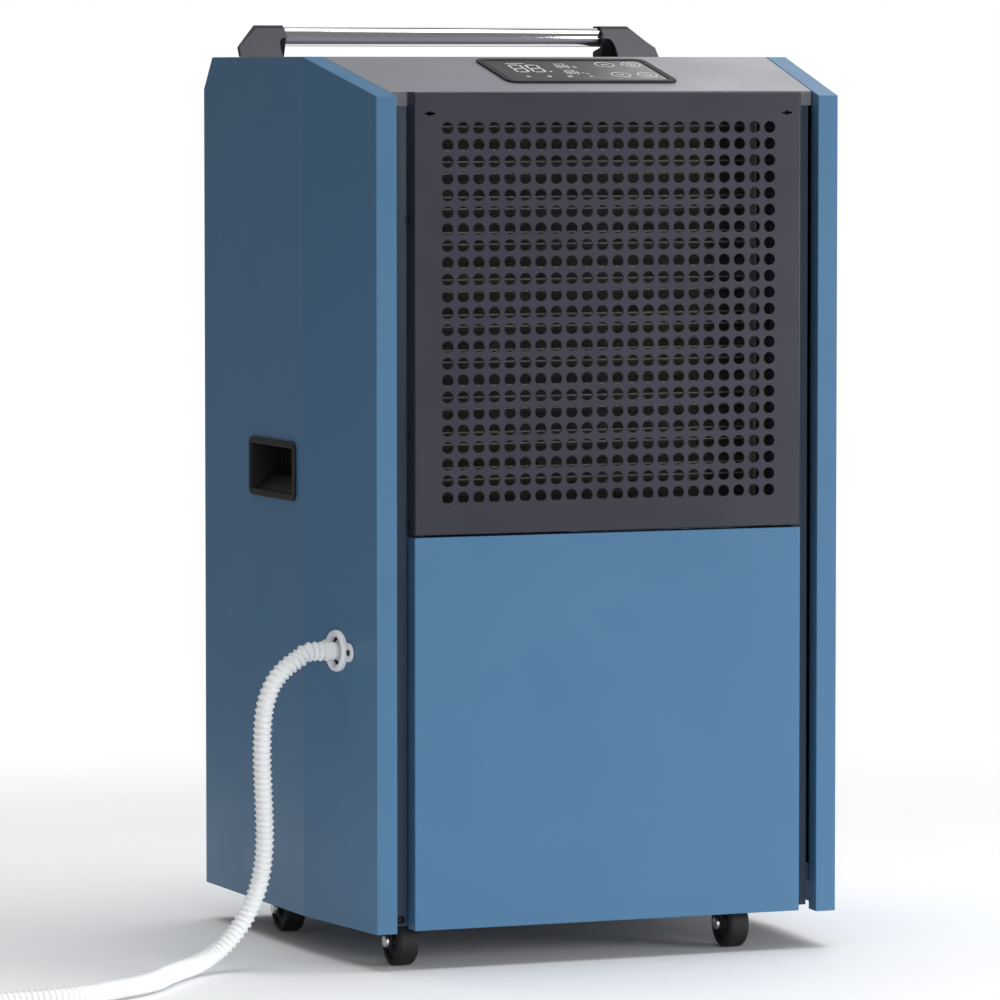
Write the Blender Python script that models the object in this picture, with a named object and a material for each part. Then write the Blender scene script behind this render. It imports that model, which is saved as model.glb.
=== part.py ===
"""Cabinet dehumidifier on four swivel castors, with a condensate pump and a drain hose.

Units are metres, +Z is up and the front faces -Y. The origin is on the floor, under the middle
of the cabinet. "Left" is the -X side.
"""

import math

import bmesh
import bpy
from mathutils import Matrix, Vector

# Cabinet
FRONT = -0.239                      # plane of the grille and of the side panels' front strips
DEPTH = 0.464
REAR = FRONT + DEPTH
BEND = FRONT + 0.165                # vertical bend line of the side panels
HALF_FRONT = 0.2535                 # half width at the front plane
HALF_REAR = 0.2705                  # half width from the bend to the rear
PANEL_BOTTOM = 0.038
FLAT_TOP = 0.918
SLOPE_DROP = 0.0395                 # fall of the top from the bend to the front plane
CHAMFER_DEPTH = 0.026
CHAMFER_DROP = 0.033
SHEET = 0.002                       # thickness of the folded sheet
GAP = 0.0003                        # clearance between neighbouring pieces
SLOPE = math.atan2(SLOPE_DROP, BEND - FRONT)
TAPER = math.atan2(HALF_REAR - HALF_FRONT, BEND - FRONT)

# Front
STRIP = 0.022                       # width of the side panels' flanges
STRIP_RETURN = 0.023                # depth of the front strip's inner return
TRAY_HALF = 0.2125                  # half width of the grille and of the lower panel
TRAY_DEPTH = 0.0197
TRAY_WALL = 0.0016
GRILLE_BOTTOM = 0.4385
GRILLE_TOP = 0.8825
LOWER_BOTTOM = 0.040
LOWER_TOP = GRILLE_BOTTOM - 0.002
COVER_FRONT = FRONT + 0.020         # front edge of the top cover
COVER_BOTTOM = 0.868
POST_FACE = FRONT + STRIP_RETURN + GAP

# Display
DISPLAY_X = 0.005
DISPLAY_BEHIND = 0.101              # centre, measured back from the front plane
DISPLAY_SIZE = (0.189, 0.101)
GLASS_SIZE = (0.1735, 0.0855)

# Inside
PAN_BOTTOM = 0.066
PAN_TOP = PAN_BOTTOM + SHEET
SHELF_BOTTOM = 0.440
COIL_X = (-0.190, 0.180)
COIL_Z = (0.462, 0.862)
EVAPORATOR_Y = FRONT + 0.050
CONDENSER_Y = FRONT + 0.104
COIL_DEPTH = 0.044
FAN_Z = 0.640
FAN_RADIUS = 0.140
FAN_Y = FRONT + 0.190               # middle of the impeller
TANK_LOW = (-0.215, -0.200, PAN_TOP + 0.0015)
TANK_HIGH = (-0.075, -0.090, 0.165)
FLOAT_X, FLOAT_Y = -0.185, -0.145
PUMP_X, PUMP_Y = -0.120, -0.145
DOWNPIPE_X, DOWNPIPE_Y = -0.165, -0.112

# Drain port and hose
PORT_BEHIND = 0.085                 # centre, measured back from the front plane
PORT_Z = 0.318
SPOUT_RADIUS = 0.0088
SPOUT_OUT = 0.014                   # how far the spout stands out of the side panel
HOSE_RADIUS = 0.010
COIL_CENTRE = (-0.815, -0.255)
COIL_RADIUS = 0.110
COIL_LAYER = 0.0207
COIL_END_TURN = 0.60                # share of the second turn that the hose fills
CUFF_LENGTH = 0.042

# Castors: wheel centres, left/right and front/rear
WHEEL_RADIUS = 0.025
WHEEL_WIDTH = 0.022
TRAIL = 0.016                       # swivel axis behind the wheel's axle
CASTORS = {
    "front_left": (-0.211, FRONT + 0.045),
    "front_right": (0.155, FRONT + 0.045),
    "rear_left": (-0.2265, FRONT + 0.330),
    "rear_right": (0.175, FRONT + 0.330),
}

# Handle
BAR_RADIUS = 0.0101
BAR_Y = REAR
BAR_Z = 0.9398
BRACKET_INNER = 0.183
BRACKET_OUTER = 0.2411
BRACKET_TOP = 0.952
FACE_FOOT = REAR - 0.0345           # foot of the brackets' leaning face, on the flat top
FACE_LEAN = 0.765                   # how far that face leans back per unit of height

# Side grips
GRIP_Y = (FRONT + 0.184, FRONT + 0.320)
GRIP_Z = (0.463, 0.524)
GRIP_RIM = 0.0045                   # overlap of the grip's frame on the panel
GRIP_PROUD = 0.003
GRIP_DEPTH = 0.034

SIDES = (("left", -1), ("right", 1))


def clear_scene():
    for old in list(bpy.data.objects):
        bpy.data.objects.remove(old, do_unlink=True)


def make_material(name, colour, roughness, metallic=0.0):
    material = bpy.data.materials.new(name)
    material.use_nodes = True
    shader = material.node_tree.nodes["Principled BSDF"]
    shader.inputs["Base Color"].default_value = (*colour, 1.0)
    shader.inputs["Roughness"].default_value = roughness
    shader.inputs["Metallic"].default_value = metallic
    return material


# --- Shape helpers ---

def add_mesh(name, bm, material=None, location=(0, 0, 0), rotation=(0, 0, 0), smooth=False):
    """Link a bmesh as an object, with its faces pointing out."""
    bmesh.ops.recalc_face_normals(bm, faces=bm.faces)
    mesh = bpy.data.meshes.new(name)
    bm.to_mesh(mesh)
    bm.free()
    if smooth:
        mesh.shade_smooth()
        mesh.set_sharp_from_angle(angle=math.radians(35))
    if material:
        mesh.materials.append(material)
    obj = bpy.data.objects.new(name, mesh)
    obj.location = location
    obj.rotation_euler = rotation
    bpy.context.scene.collection.objects.link(obj)
    return obj


def box(name, low, high, material=None, rotation=(0, 0, 0)):
    """A block between two corners, placed by its centre."""
    size = [b - a for a, b in zip(low, high)]
    centre = [(a + b) / 2 for a, b in zip(low, high)]
    bm = bmesh.new()
    bmesh.ops.create_cube(bm, size=1.0)
    bmesh.ops.scale(bm, vec=size, verts=bm.verts)
    return add_mesh(name, bm, material, centre, rotation)


def prism(name, outline, axis, low, high, material=None, location=(0, 0, 0), rotation=(0, 0, 0)):
    """Extrude a closed outline along an axis; its two coordinates are the other axes in order."""
    place = {
        "X": lambda value, a, b: (value, a, b),
        "Y": lambda value, a, b: (a, value, b),
        "Z": lambda value, a, b: (a, b, value),
    }[axis]
    bm = bmesh.new()
    near, far = ([bm.verts.new(place(value, a, b)) for a, b in outline] for value in (low, high))
    bm.faces.new(near)
    bm.faces.new(far)
    for i in range(len(outline)):
        j = (i + 1) % len(outline)
        bm.faces.new((near[i], near[j], far[j], far[i]))
    return add_mesh(name, bm, material, location, rotation)


def turned(name, profile, steps, material=None, location=(0, 0, 0), rotation=(0, 0, 0), phase=0.0):
    """Turn a closed profile of (radius, height) points about the local Z axis."""
    bm = bmesh.new()
    rings = []
    for radius, height in profile:
        if radius == 0:
            rings.append([bm.verts.new((0, 0, height))] * steps)
            continue
        angles = [(step + phase) * math.tau / steps for step in range(steps)]
        rings.append([bm.verts.new((radius * math.cos(a), radius * math.sin(a), height)) for a in angles])
    for i in range(len(rings)):
        lower, upper = rings[i], rings[(i + 1) % len(rings)]
        for step in range(steps):
            after = (step + 1) % steps
            corners = dict.fromkeys((lower[step], lower[after], upper[after], upper[step]))
            if len(corners) > 2:
                bm.faces.new(list(corners))
    return add_mesh(name, bm, material, location, rotation, smooth=True)


def cylinder(name, radius, low, high, steps=24, **place):
    return turned(name, [(0, low), (radius, low), (radius, high), (0, high)], steps, **place)


def rounded_outline(width, height, radius, steps=4, centre=(0, 0)):
    """A rectangle's outline with round corners."""
    points = []
    for corner, (sx, sy) in enumerate(((1, 1), (-1, 1), (-1, -1), (1, -1))):
        middle = (centre[0] + sx * (width / 2 - radius), centre[1] + sy * (height / 2 - radius))
        for step in range(steps + 1):
            angle = (corner + step / steps) * math.pi / 2
            points.append((middle[0] + radius * math.cos(angle), middle[1] + radius * math.sin(angle)))
    return points


def boolean(target, tool, operation="DIFFERENCE"):
    """Cut, join or intersect with a helper object that isn't part of the model."""
    tool.hide_render = True
    tool.display_type = "WIRE"
    modifier = target.modifiers.new(tool.name, "BOOLEAN")
    modifier.operation = operation
    modifier.object = tool
    return target


def smooth_route(points, spacing):
    """Points a given distance apart on a smooth curve through the route's points."""
    ends = [2 * points[0] - points[1], *points, 2 * points[-1] - points[-2]]
    fine = []
    for before, start, end, after in zip(ends, ends[1:], ends[2:], ends[3:]):
        for step in range(20):
            t = step / 20
            fine.append(0.5 * (2 * start + (end - before) * t
                               + (2 * before - 5 * start + 4 * end - after) * t ** 2
                               + (3 * start - before - 3 * end + after) * t ** 3))
    fine.append(points[-1])
    lengths = [0.0]
    for a, b in zip(fine, fine[1:]):
        lengths.append(lengths[-1] + (b - a).length)
    count = round(lengths[-1] / spacing)
    even, i = [], 0
    for step in range(count + 1):
        want = lengths[-1] * step / count
        while i < len(fine) - 2 and lengths[i + 1] < want:
            i += 1
        share = (want - lengths[i]) / (lengths[i + 1] - lengths[i])
        even.append(fine[i].lerp(fine[i + 1], min(1.0, share)))
    return even


def tube(name, points, radius, material, resolution=2):
    curve = bpy.data.curves.new(name, "CURVE")
    curve.dimensions = "3D"
    curve.bevel_depth = radius
    curve.bevel_resolution = resolution
    curve.use_fill_caps = True
    spline = curve.splines.new("POLY")
    spline.points.add(len(points) - 1)
    for point, place in zip(spline.points, points):
        point.co = (*place, 1.0)
    curve.materials.append(material)
    obj = bpy.data.objects.new(name, curve)
    bpy.context.scene.collection.objects.link(obj)
    return obj


# --- The cabinet's outline ---

def half_width(y):
    """Half the cabinet's width at a depth: it narrows from the bend to the front."""
    share = min(1.0, max(0.0, (BEND - y) / (BEND - FRONT)))
    return HALF_REAR - (HALF_REAR - HALF_FRONT) * share


def top_height(y):
    """Height of the cabinet's top at a depth."""
    if y > REAR - CHAMFER_DEPTH:
        return FLAT_TOP - CHAMFER_DROP * (y - REAR + CHAMFER_DEPTH) / CHAMFER_DEPTH
    return FLAT_TOP - max(0.0, BEND - y) * math.tan(SLOPE)


def side_outline(front, rear, bottom, inset=0.0):
    """The cabinet's outline seen from the side, in Y and Z, lowered by the inset along its top."""
    corners = [front, BEND, REAR - CHAMFER_DEPTH - inset / 2, rear]
    top = [(y, top_height(y) - inset / math.cos(SLOPE)) for y in corners]
    return [(front, bottom), *top, (rear, bottom), (BEND, bottom)]


def between_walls(name, outline, inner, outer, material=None):
    """A solid with a side outline, between two walls that follow the cabinet's taper.

    inner and outer give X at a depth. The outline has points at the bend, top and bottom.
    """
    bm = bmesh.new()
    rings = [[bm.verts.new((wall(y), y, z)) for y, z in outline] for wall in (inner, outer)]
    for ring in rings:
        if outline[0][0] < BEND - 1e-6:
            bm.faces.new([v for v in ring if v.co.y < BEND + 1e-6])
        bm.faces.new([v for v in ring if v.co.y > BEND - 1e-6])
    for i in range(len(outline)):
        j = (i + 1) % len(outline)
        bm.faces.new((rings[0][i], rings[0][j], rings[1][j], rings[1][i]))
    return add_mesh(name, bm, material)


# --- Case ---

def side_panel(side, sign, material):
    """Folded side: wall, flanges along the front, slope, top and rear, and a return at the front."""
    name = f"side_panel_{side}"
    panel = between_walls(
        name, side_outline(FRONT, REAR, PANEL_BOTTOM),
        lambda y: sign * (half_width(y) - STRIP), lambda y: sign * half_width(y), material)
    below = PANEL_BOTTOM - 0.01
    hollow = side_outline(FRONT + SHEET, REAR - SHEET, below, SHEET)
    boolean(panel, between_walls(
        f"cut_{name}_hollow", hollow,
        lambda y: sign * (half_width(y) - STRIP + SHEET), lambda y: sign * (half_width(y) - SHEET)))
    lip = SHEET + GAP
    behind_return = side_outline(FRONT + STRIP_RETURN, REAR - lip, below, lip)
    boolean(panel, between_walls(
        f"cut_{name}_mouth", behind_return,
        lambda y: sign * (half_width(y) - STRIP - 0.01), lambda y: sign * (half_width(y) - STRIP / 2)))
    inner, outer = sorted((sign * (HALF_REAR - 0.01), sign * (HALF_REAR + 0.01)))
    boolean(panel, box(
        f"cut_{name}_grip",
        (inner, GRIP_Y[0] + GRIP_RIM, GRIP_Z[0] + GRIP_RIM),
        (outer, GRIP_Y[1] - GRIP_RIM, GRIP_Z[1] - GRIP_RIM)))
    return panel


def front_tray(name, bottom, top, material):
    """Front panel folded as a tray, open to the rear."""
    tray = box(name, (-TRAY_HALF, FRONT, bottom), (TRAY_HALF, FRONT + TRAY_DEPTH, top), material)
    return boolean(tray, box(
        f"cut_{name}",
        (-TRAY_HALF + TRAY_WALL, FRONT + TRAY_WALL, bottom + TRAY_WALL),
        (TRAY_HALF - TRAY_WALL, FRONT + TRAY_DEPTH + 0.01, top - TRAY_WALL)))


def on_slope(across, along, up):
    """A point near the display, from its centre: along runs up the slope, up is away from it."""
    middle = Vector((DISPLAY_X, FRONT + DISPLAY_BEHIND, top_height(FRONT + DISPLAY_BEHIND)))
    return middle + Matrix.Rotation(SLOPE, 3, "X") @ Vector((across, along, up))


def slope_plate(name, size, radius, low, high, material=None):
    """A plate with round corners that lies on the slope around the display's centre."""
    return prism(name, rounded_outline(*size, radius), "Z", low, high, material,
                 on_slope(0, 0, 0), (SLOPE, 0, 0))


def top_cover(material):
    inside = STRIP + 2 * GAP
    cover = between_walls(
        "top_cover", side_outline(COVER_FRONT, REAR, COVER_BOTTOM),
        lambda y: inside - half_width(y), lambda y: half_width(y) - inside, material)
    hollow = side_outline(COVER_FRONT + SHEET, REAR - SHEET, COVER_BOTTOM - 0.01, SHEET)
    boolean(cover, between_walls(
        "cut_top_cover", hollow,
        lambda y: inside + SHEET - half_width(y), lambda y: half_width(y) - inside - SHEET))
    opening = (GLASS_SIZE[0] + 0.001, GLASS_SIZE[1] + 0.001)
    return boolean(cover, slope_plate("cut_display_opening", opening, 0.0065, -0.01, 0.01))


def rear_panel(material):
    half = HALF_REAR - STRIP - 2 * GAP
    bottom, top = PANEL_BOTTOM + 0.002, COVER_BOTTOM - 0.0005
    panel = box("rear_panel", (-half, REAR - 0.015, bottom), (half, REAR, top), material)
    boolean(panel, box(
        "cut_rear_panel", (SHEET - half, REAR - 0.02, bottom + SHEET),
        (half - SHEET, REAR - SHEET, top - SHEET)))
    boolean(panel, box(
        "cut_outlet", (-0.150, REAR - 0.03, FAN_Z - 0.150), (0.150, REAR + 0.01, FAN_Z + 0.150)))
    return boolean(panel, cylinder(
        "cut_cable_entry", 0.0085, -0.01, 0.01, location=(0.180, REAR, 0.130),
        rotation=(math.pi / 2, 0, 0)))


def outlet_grille(material):
    """Moulded frame with slanted louvres, pushed into the rear panel's opening."""
    rim, collar = 0.158, 0.149
    grille = prism("outlet_grille", rounded_outline(2 * rim, 2 * rim, 0.010), "Y",
                   REAR + GAP, REAR + 0.003, material, (0, 0, FAN_Z))
    boolean(grille, box("join_outlet_collar", (-collar, REAR - 0.014, FAN_Z - collar),
                        (collar, REAR + 0.002, FAN_Z + collar)), "UNION")
    mouth = collar - 0.003
    boolean(grille, box("cut_outlet_mouth", (-mouth, REAR - 0.03, FAN_Z - mouth),
                        (mouth, REAR + 0.01, FAN_Z + mouth)))
    count = 12
    for i in range(count):
        z = FAN_Z + mouth * (2 * (i + 0.5) / count - 1)
        boolean(grille, box(f"join_louvre_{i}", (-mouth - 0.001, REAR - 0.0125, z - 0.0009),
                            (mouth + 0.001, REAR + 0.0015, z + 0.0009),
                            rotation=(math.radians(-35), 0, 0)), "UNION")
    boolean(grille, box("join_outlet_mullion", (-0.002, REAR - 0.012, FAN_Z - mouth - 0.001),
                        (0.002, REAR + 0.001, FAN_Z + mouth + 0.001)), "UNION")
    return grille


def corner_post(side, sign, material):
    """Folded upright behind each front recess, with a tab inside the front panels for their screws."""
    face = POST_FACE
    outline = [(0.190, face), (0.2086, face), (0.2086, FRONT + 0.003), (0.2104, FRONT + 0.003),
               (0.2104, face), (0.2308, face), (0.2308, face + 0.0018), (0.1918, face + 0.0018),
               (0.1918, face + 0.014), (0.190, face + 0.014)]
    name = f"corner_post_{side}"
    post = prism(name, [(sign * x, y) for x, y in outline], "Z", 0.0425, 0.878, material)
    near, far = sorted((sign * 0.20, sign * 0.215))
    gaps = {"seam": (LOWER_TOP - 0.006, GRILLE_BOTTOM + 0.006), "cover": (COVER_BOTTOM - 0.002, 0.89)}
    for label, (bottom, top) in gaps.items():
        boolean(post, box(f"cut_{name}_{label}", (near, FRONT, bottom), (far, face - 0.0005, top)))
    near, far = sorted((sign * 0.18, sign * 0.20))
    return boolean(post, box(f"cut_{name}_foot", (near, face + 0.0018, 0.03), (far, face + 0.02, 0.092)))


# --- Display ---

def display_bezel(material):
    bezel = slope_plate("display_bezel", DISPLAY_SIZE, 0.0115, GAP, 0.0022, material)
    window = (GLASS_SIZE[0] + 2 * GAP, GLASS_SIZE[1] + 2 * GAP)
    return boolean(bezel, slope_plate("cut_display_window", window, 0.006, -0.01, 0.01))


def control_board(material):
    """Circuit board with its relay and connector, under the glass."""
    board = box("control_board", (-0.075, -0.034, -0.0008), (0.075, 0.034, 0.0008), material)
    board.location = on_slope(0, 0, -0.009)
    board.rotation_euler = (SLOPE, 0, 0)
    for name, low, high in (("relay", (0.035, -0.012, -0.014), (0.055, 0.008, 0)),
                            ("connector", (-0.062, -0.028, -0.010), (-0.022, -0.018, 0))):
        part = box(f"join_board_{name}", low, high)
        part.location = on_slope(*[(a + b) / 2 for a, b in zip(low, high)]) + on_slope(0, 0, -0.009) - on_slope(0, 0, 0)
        part.rotation_euler = (SLOPE, 0, 0)
        boolean(board, part, "UNION")
    return board


# --- Handle and grips ---

def leaning_face(z, behind=0.0):
    """Point (y, z) on the brackets' leaning face, or behind it."""
    return FACE_FOOT + (z - FLAT_TOP) * FACE_LEAN + behind, z


def leaning_slab(name, sign, front_view, bottom, top, front, back, material=None):
    """Outline seen from the front, as a slab that leans back with the brackets' face."""
    slab = prism(name, [(sign * x, z) for x, z in front_view], "Y", REAR - 0.06, REAR + 0.03, material)
    side_view = [leaning_face(bottom, front), leaning_face(top, front),
                 leaning_face(top, back), leaning_face(bottom, back)]
    return boolean(slab, prism(f"keep_{name}", side_view, "X", *sorted((sign * 0.15, sign * 0.26))),
                   "INTERSECT")


def handle_bracket(side, sign, material):
    """Grey cover plate on the front of the bracket, with an arch below the bar."""
    foot, top = FLAT_TOP + GAP, BRACKET_TOP - 0.0032
    front_view = [(BRACKET_OUTER, foot), (BRACKET_OUTER - 0.0007, 0.9285), (0.2151, top),
                  (BRACKET_INNER, top), (BRACKET_INNER - 0.0004, 0.9385), (0.1880, 0.9385),
                  (0.1911, 0.9365), (0.1928, 0.9325), (0.1933, 0.9270), (0.1931, foot)]
    return leaning_slab(f"handle_bracket_{side}", sign, front_view, foot, top, 0.0, 0.0022, material)


def handle_support(side, sign, material):
    """Body of the bracket behind its cover plate, with the bore for the bar and a foot on the chamfer."""
    name = f"handle_support_{side}"
    foot = FLAT_TOP + GAP
    front_view = [(BRACKET_OUTER, foot), (BRACKET_OUTER - 0.0007, 0.9285), (0.2155, BRACKET_TOP),
                  (BRACKET_INNER, BRACKET_TOP), (BRACKET_INNER, 0.9390), (0.1882, 0.9390),
                  (0.1914, 0.9368), (0.1932, 0.9326), (0.1937, 0.9270), (0.1935, foot)]
    body = leaning_slab(name, sign, front_view, foot, BRACKET_TOP, 0.0022 + GAP, 0.0065, material)
    boss = [leaning_face(BRACKET_TOP, 0.0040), (0.2370, BRACKET_TOP), (0.2388, 0.9500), (0.2388, 0.9390),
            (0.2300, 0.9330), (0.2190, 0.9290), (0.2370, 0.9248), (0.2388, 0.9230), (0.2375, 0.9120),
            (0.2253, 0.8858), (0.2190, 0.8936), (0.2165, 0.9170), (0.2141, 0.9234), leaning_face(0.9385, 0.0026),
            leaning_face(0.9450, 0.0030)]
    boolean(body, prism(f"join_{name}", boss, "X", *sorted((sign * BRACKET_INNER, sign * 0.2035))), "UNION")
    return boolean(body, cylinder(
        f"cut_{name}_bore", BAR_RADIUS + GAP, sign * 0.1, sign * 0.2005, 32,
        location=(0, BAR_Y, BAR_Z), rotation=(0, math.pi / 2, 0)))


def side_grip(side, sign, material):
    """Moulded carrying recess: a frame on the panel and a cup that reaches into the cabinet."""
    name = f"side_grip_{side}"
    length, height = GRIP_Y[1] - GRIP_Y[0], GRIP_Z[1] - GRIP_Z[0]
    middle = (sum(GRIP_Y) / 2, sum(GRIP_Z) / 2)
    outline = rounded_outline(length, height, 0.009, 5, middle)
    near, far = sorted((sign * (HALF_REAR + GAP), sign * (HALF_REAR + GRIP_PROUD)))
    grip = prism(name, outline, "X", near, far, material)
    cup = (length / 2 - GRIP_RIM - GAP, height / 2 - GRIP_RIM - GAP)
    near, far = sorted((sign * (HALF_REAR - GRIP_DEPTH), sign * (HALF_REAR + 0.002)))
    boolean(grip, box(f"join_{name}_cup", (near, middle[0] - cup[0], middle[1] - cup[1]),
                      (far, middle[0] + cup[0], middle[1] + cup[1])), "UNION")
    wall = 0.002
    low, high = middle[1] - cup[1] + wall, middle[1] + cup[1] - wall
    deep = HALF_REAR - GRIP_DEPTH + wall
    hollow = [(HALF_REAR + 0.01, low), (HALF_REAR + 0.01, high), (deep, high), (deep, low),
              (HALF_REAR - 0.0195, low), (HALF_REAR - 0.0175, low + 0.0160), (HALF_REAR - 0.003, low)]
    return boolean(grip, prism(f"cut_{name}", [(sign * x, z) for x, z in hollow], "Y",
                               middle[0] - cup[0] + wall, middle[0] + cup[0] - wall))


# --- Castors ---

def castor(place, wheel_x, wheel_y, materials):
    """Swivel castor: plate under the pan, fork turning below it, wheel on its axle."""
    swivel = (wheel_x, wheel_y + TRAIL, 0)
    axle = (wheel_x, wheel_y, WHEEL_RADIUS)
    plate_top = PAN_BOTTOM - GAP
    plate = box(f"castor_plate_{place}", (wheel_x - 0.024, swivel[1] - 0.021, plate_top - 0.0025),
                (wheel_x + 0.024, swivel[1] + 0.021, plate_top), materials["zinc"])
    boolean(plate, cylinder(f"join_plate_{place}", 0.0165, 0.0585, plate_top - 0.001,
                            location=swivel), "UNION")

    leg_in, leg_out = WHEEL_WIDTH / 2 + 0.0012, WHEEL_WIDTH / 2 + 0.0032
    fork = cylinder(f"castor_fork_{place}", 0.0185, 0.0535, 0.0582, material=materials["black"],
                    location=swivel)
    for side, sign in SIDES:
        near, far = sorted((sign * leg_in, sign * leg_out))
        leg = [(-TRAIL - 0.0085, 0.018), (-TRAIL + 0.0085, 0.018), (0.010, 0.048), (0.012, 0.0565),
               (-0.024, 0.0565), (-TRAIL - 0.010, 0.040)]
        boolean(fork, prism(f"join_leg_{place}_{side}", leg, "X", near, far, location=swivel), "UNION")
    arm = box(f"join_arm_{place}", (wheel_x - leg_out, wheel_y - 0.004, 0.0525),
              (wheel_x + leg_out, wheel_y + TRAIL, 0.0565))
    boolean(fork, arm, "UNION")
    sideways = {"location": axle, "rotation": (0, math.pi / 2, 0)}
    boolean(fork, cylinder(f"cut_axle_{place}", 0.0043, -0.03, 0.03, 20, **sideways))

    head = leg_out + GAP
    turned(f"castor_axle_{place}",
           [(0, -head - 0.0035), (0.0058, -head - 0.0035), (0.0068, -head), (0.0040, -head),
            (0.0040, head), (0.0068, head), (0.0058, head + 0.0035), (0, head + 0.0035)],
           20, materials["zinc"], **sideways)

    sides = 24
    flat = 1 / math.cos(math.pi / sides)
    half = WHEEL_WIDTH / 2
    turned(f"castor_wheel_{place}",
           [(0.0044, -half - 0.0004), (0.0090, -half - 0.0004), (0.0105, -half + 0.003),
            (0.0165, -half + 0.003), (0.0185, -half), ((WHEEL_RADIUS - 0.002) * flat, -half),
            (WHEEL_RADIUS * flat, -half + 0.0025), (WHEEL_RADIUS * flat, half - 0.0025),
            ((WHEEL_RADIUS - 0.002) * flat, half), (0.0185, half), (0.0165, half - 0.003),
            (0.0105, half - 0.003), (0.0090, half + 0.0004), (0.0044, half + 0.0004)],
           sides, materials["black"], phase=0.5, **sideways)


# --- Inside ---

def plan_outline(front, rear, inset):
    """The cabinet's plan inside its side panels."""
    return [(-half_width(front) + inset, front), (half_width(front) - inset, front),
            (HALF_REAR - inset, BEND), (HALF_REAR - inset, rear),
            (-HALF_REAR + inset, rear), (-HALF_REAR + inset, BEND)]


def base_pan(material):
    front, rear, inset = POST_FACE + 0.0025, REAR - 0.0155, SHEET + 0.001
    pan = prism("base_pan", plan_outline(front, rear, inset), "Z", PAN_BOTTOM, PAN_BOTTOM + 0.020, material)
    inner = plan_outline(front + SHEET, rear - SHEET, inset + SHEET)
    return boolean(pan, prism("cut_base_pan", inner, "Z", PAN_TOP, PAN_BOTTOM + 0.03))


def partition_shelf(material):
    front, rear = POST_FACE + 0.016, REAR - 0.0155
    shelf = prism("partition_shelf", plan_outline(front, rear, SHEET + 0.001), "Z",
                  SHELF_BOTTOM, SHELF_BOTTOM + SHEET, material)
    boolean(shelf, box("cut_pipe_slot", (0.198, -0.150, 0.43), (0.240, -0.090, 0.45)))
    return boolean(shelf, cylinder("cut_tray_drain", 0.0095, 0.43, 0.45, 16,
                                   location=(DOWNPIPE_X, DOWNPIPE_Y, 0)))


def coil(name, front, material):
    """Fin pack between two end plates, with return bends at the right end."""
    pack = box(name, (COIL_X[0], front + 0.002, COIL_Z[0] + 0.002),
               (COIL_X[1] - 0.001, front + COIL_DEPTH - 0.002, COIL_Z[1] - 0.002), material)
    for label, x in (("left", COIL_X[0]), ("right", COIL_X[1])):
        plate = box(f"join_{name}_{label}", (x - 0.0015, front, COIL_Z[0]),
                    (x + 0.0005, front + COIL_DEPTH, COIL_Z[1]))
        boolean(pack, plate, "UNION")
    pitch = (COIL_Z[1] - COIL_Z[0]) / 8
    for i in range(8):
        z = COIL_Z[0] + (i + 0.5) * pitch
        bend = turned(f"join_{name}_bend_{i}", [(0.0085, -0.004), (0.0165, -0.004), (0.0165, 0.004), (0.0085, 0.004)],
                      12, location=(COIL_X[1], front + COIL_DEPTH / 2, z), rotation=(math.pi / 2, 0, 0))
        boolean(pack, bend, "UNION")
    return pack


def air_filter(material):
    """Lift-out filter frame, between the grille and the evaporator."""
    low, high = (-0.1885, POST_FACE + 0.003, 0.4445), (0.1885, POST_FACE + 0.010, 0.864)
    frame = box("air_filter", low, high, material)
    return boolean(frame, box("cut_filter", (low[0] + 0.010, low[1] - 0.01, low[2] + 0.012),
                              (high[0] - 0.010, high[1] + 0.01, high[2] - 0.010)))


def drip_tray(material):
    low, high = (-0.195, EVAPORATOR_Y - 0.008, SHELF_BOTTOM + SHEET + GAP), (0.187, CONDENSER_Y + 0.048, 0.458)
    tray = box("drip_tray", low, high, material)
    boolean(tray, box("cut_drip_tray", [value + 0.002 for value in low],
                      (high[0] - 0.002, high[1] - 0.002, high[2] + 0.01)))
    drain = {"location": (DOWNPIPE_X, DOWNPIPE_Y, 0)}
    boolean(tray, cylinder("join_tray_drain", 0.0085, 0.428, 0.4435, 16, **drain), "UNION")
    return boolean(tray, cylinder("cut_tray_bore", 0.0060, 0.42, 0.45, 16, **drain))


def fan_shroud(material):
    """Plate with a round collar that the impeller turns in."""
    face = CONDENSER_Y + COIL_DEPTH + 0.006
    shroud = box("fan_shroud", (-0.205, face, SHELF_BOTTOM + 0.0025), (0.205, face + 0.002, 0.866), material)
    along_y = {"location": (0, face, FAN_Z), "rotation": (-math.pi / 2, 0, 0)}
    boolean(shroud, cylinder("join_shroud_collar", FAN_RADIUS + 0.0075, 0.001, 0.045, 40, **along_y), "UNION")
    return boolean(shroud, cylinder("cut_shroud", FAN_RADIUS + 0.0055, -0.01, 0.06, 40, **along_y))


def fan_impeller(material):
    """Axial impeller: hub with five pitched blades. Its origin is on the fan's axis."""
    along_y = {"location": (0, FAN_Y, FAN_Z), "rotation": (-math.pi / 2, 0, 0)}
    hub = turned("fan_impeller", [(0.0043, -0.012), (0.040, -0.012), (0.045, -0.006), (0.045, 0.012),
                                  (0.0043, 0.012)], 30, material, **along_y)
    blades = 5
    blade = [(-0.026, 0.040), (0.026, 0.040), (0.046, 0.105), (0.040, FAN_RADIUS),
             (-0.020, FAN_RADIUS - 0.002), (-0.034, 0.095)]
    for i in range(blades):
        pitched = Matrix.Rotation(math.radians(24), 4, "Y")
        spin = Matrix.Rotation(math.tau * i / blades, 4, "Z")
        tool = prism(f"join_blade_{i}", blade, "Z", -0.001, 0.001)
        tool.matrix_world = (Matrix.Translation(along_y["location"]) @ Matrix.Rotation(-math.pi / 2, 4, "X")
                             @ spin @ pitched)
        boolean(hub, tool, "UNION")
    return hub


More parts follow.
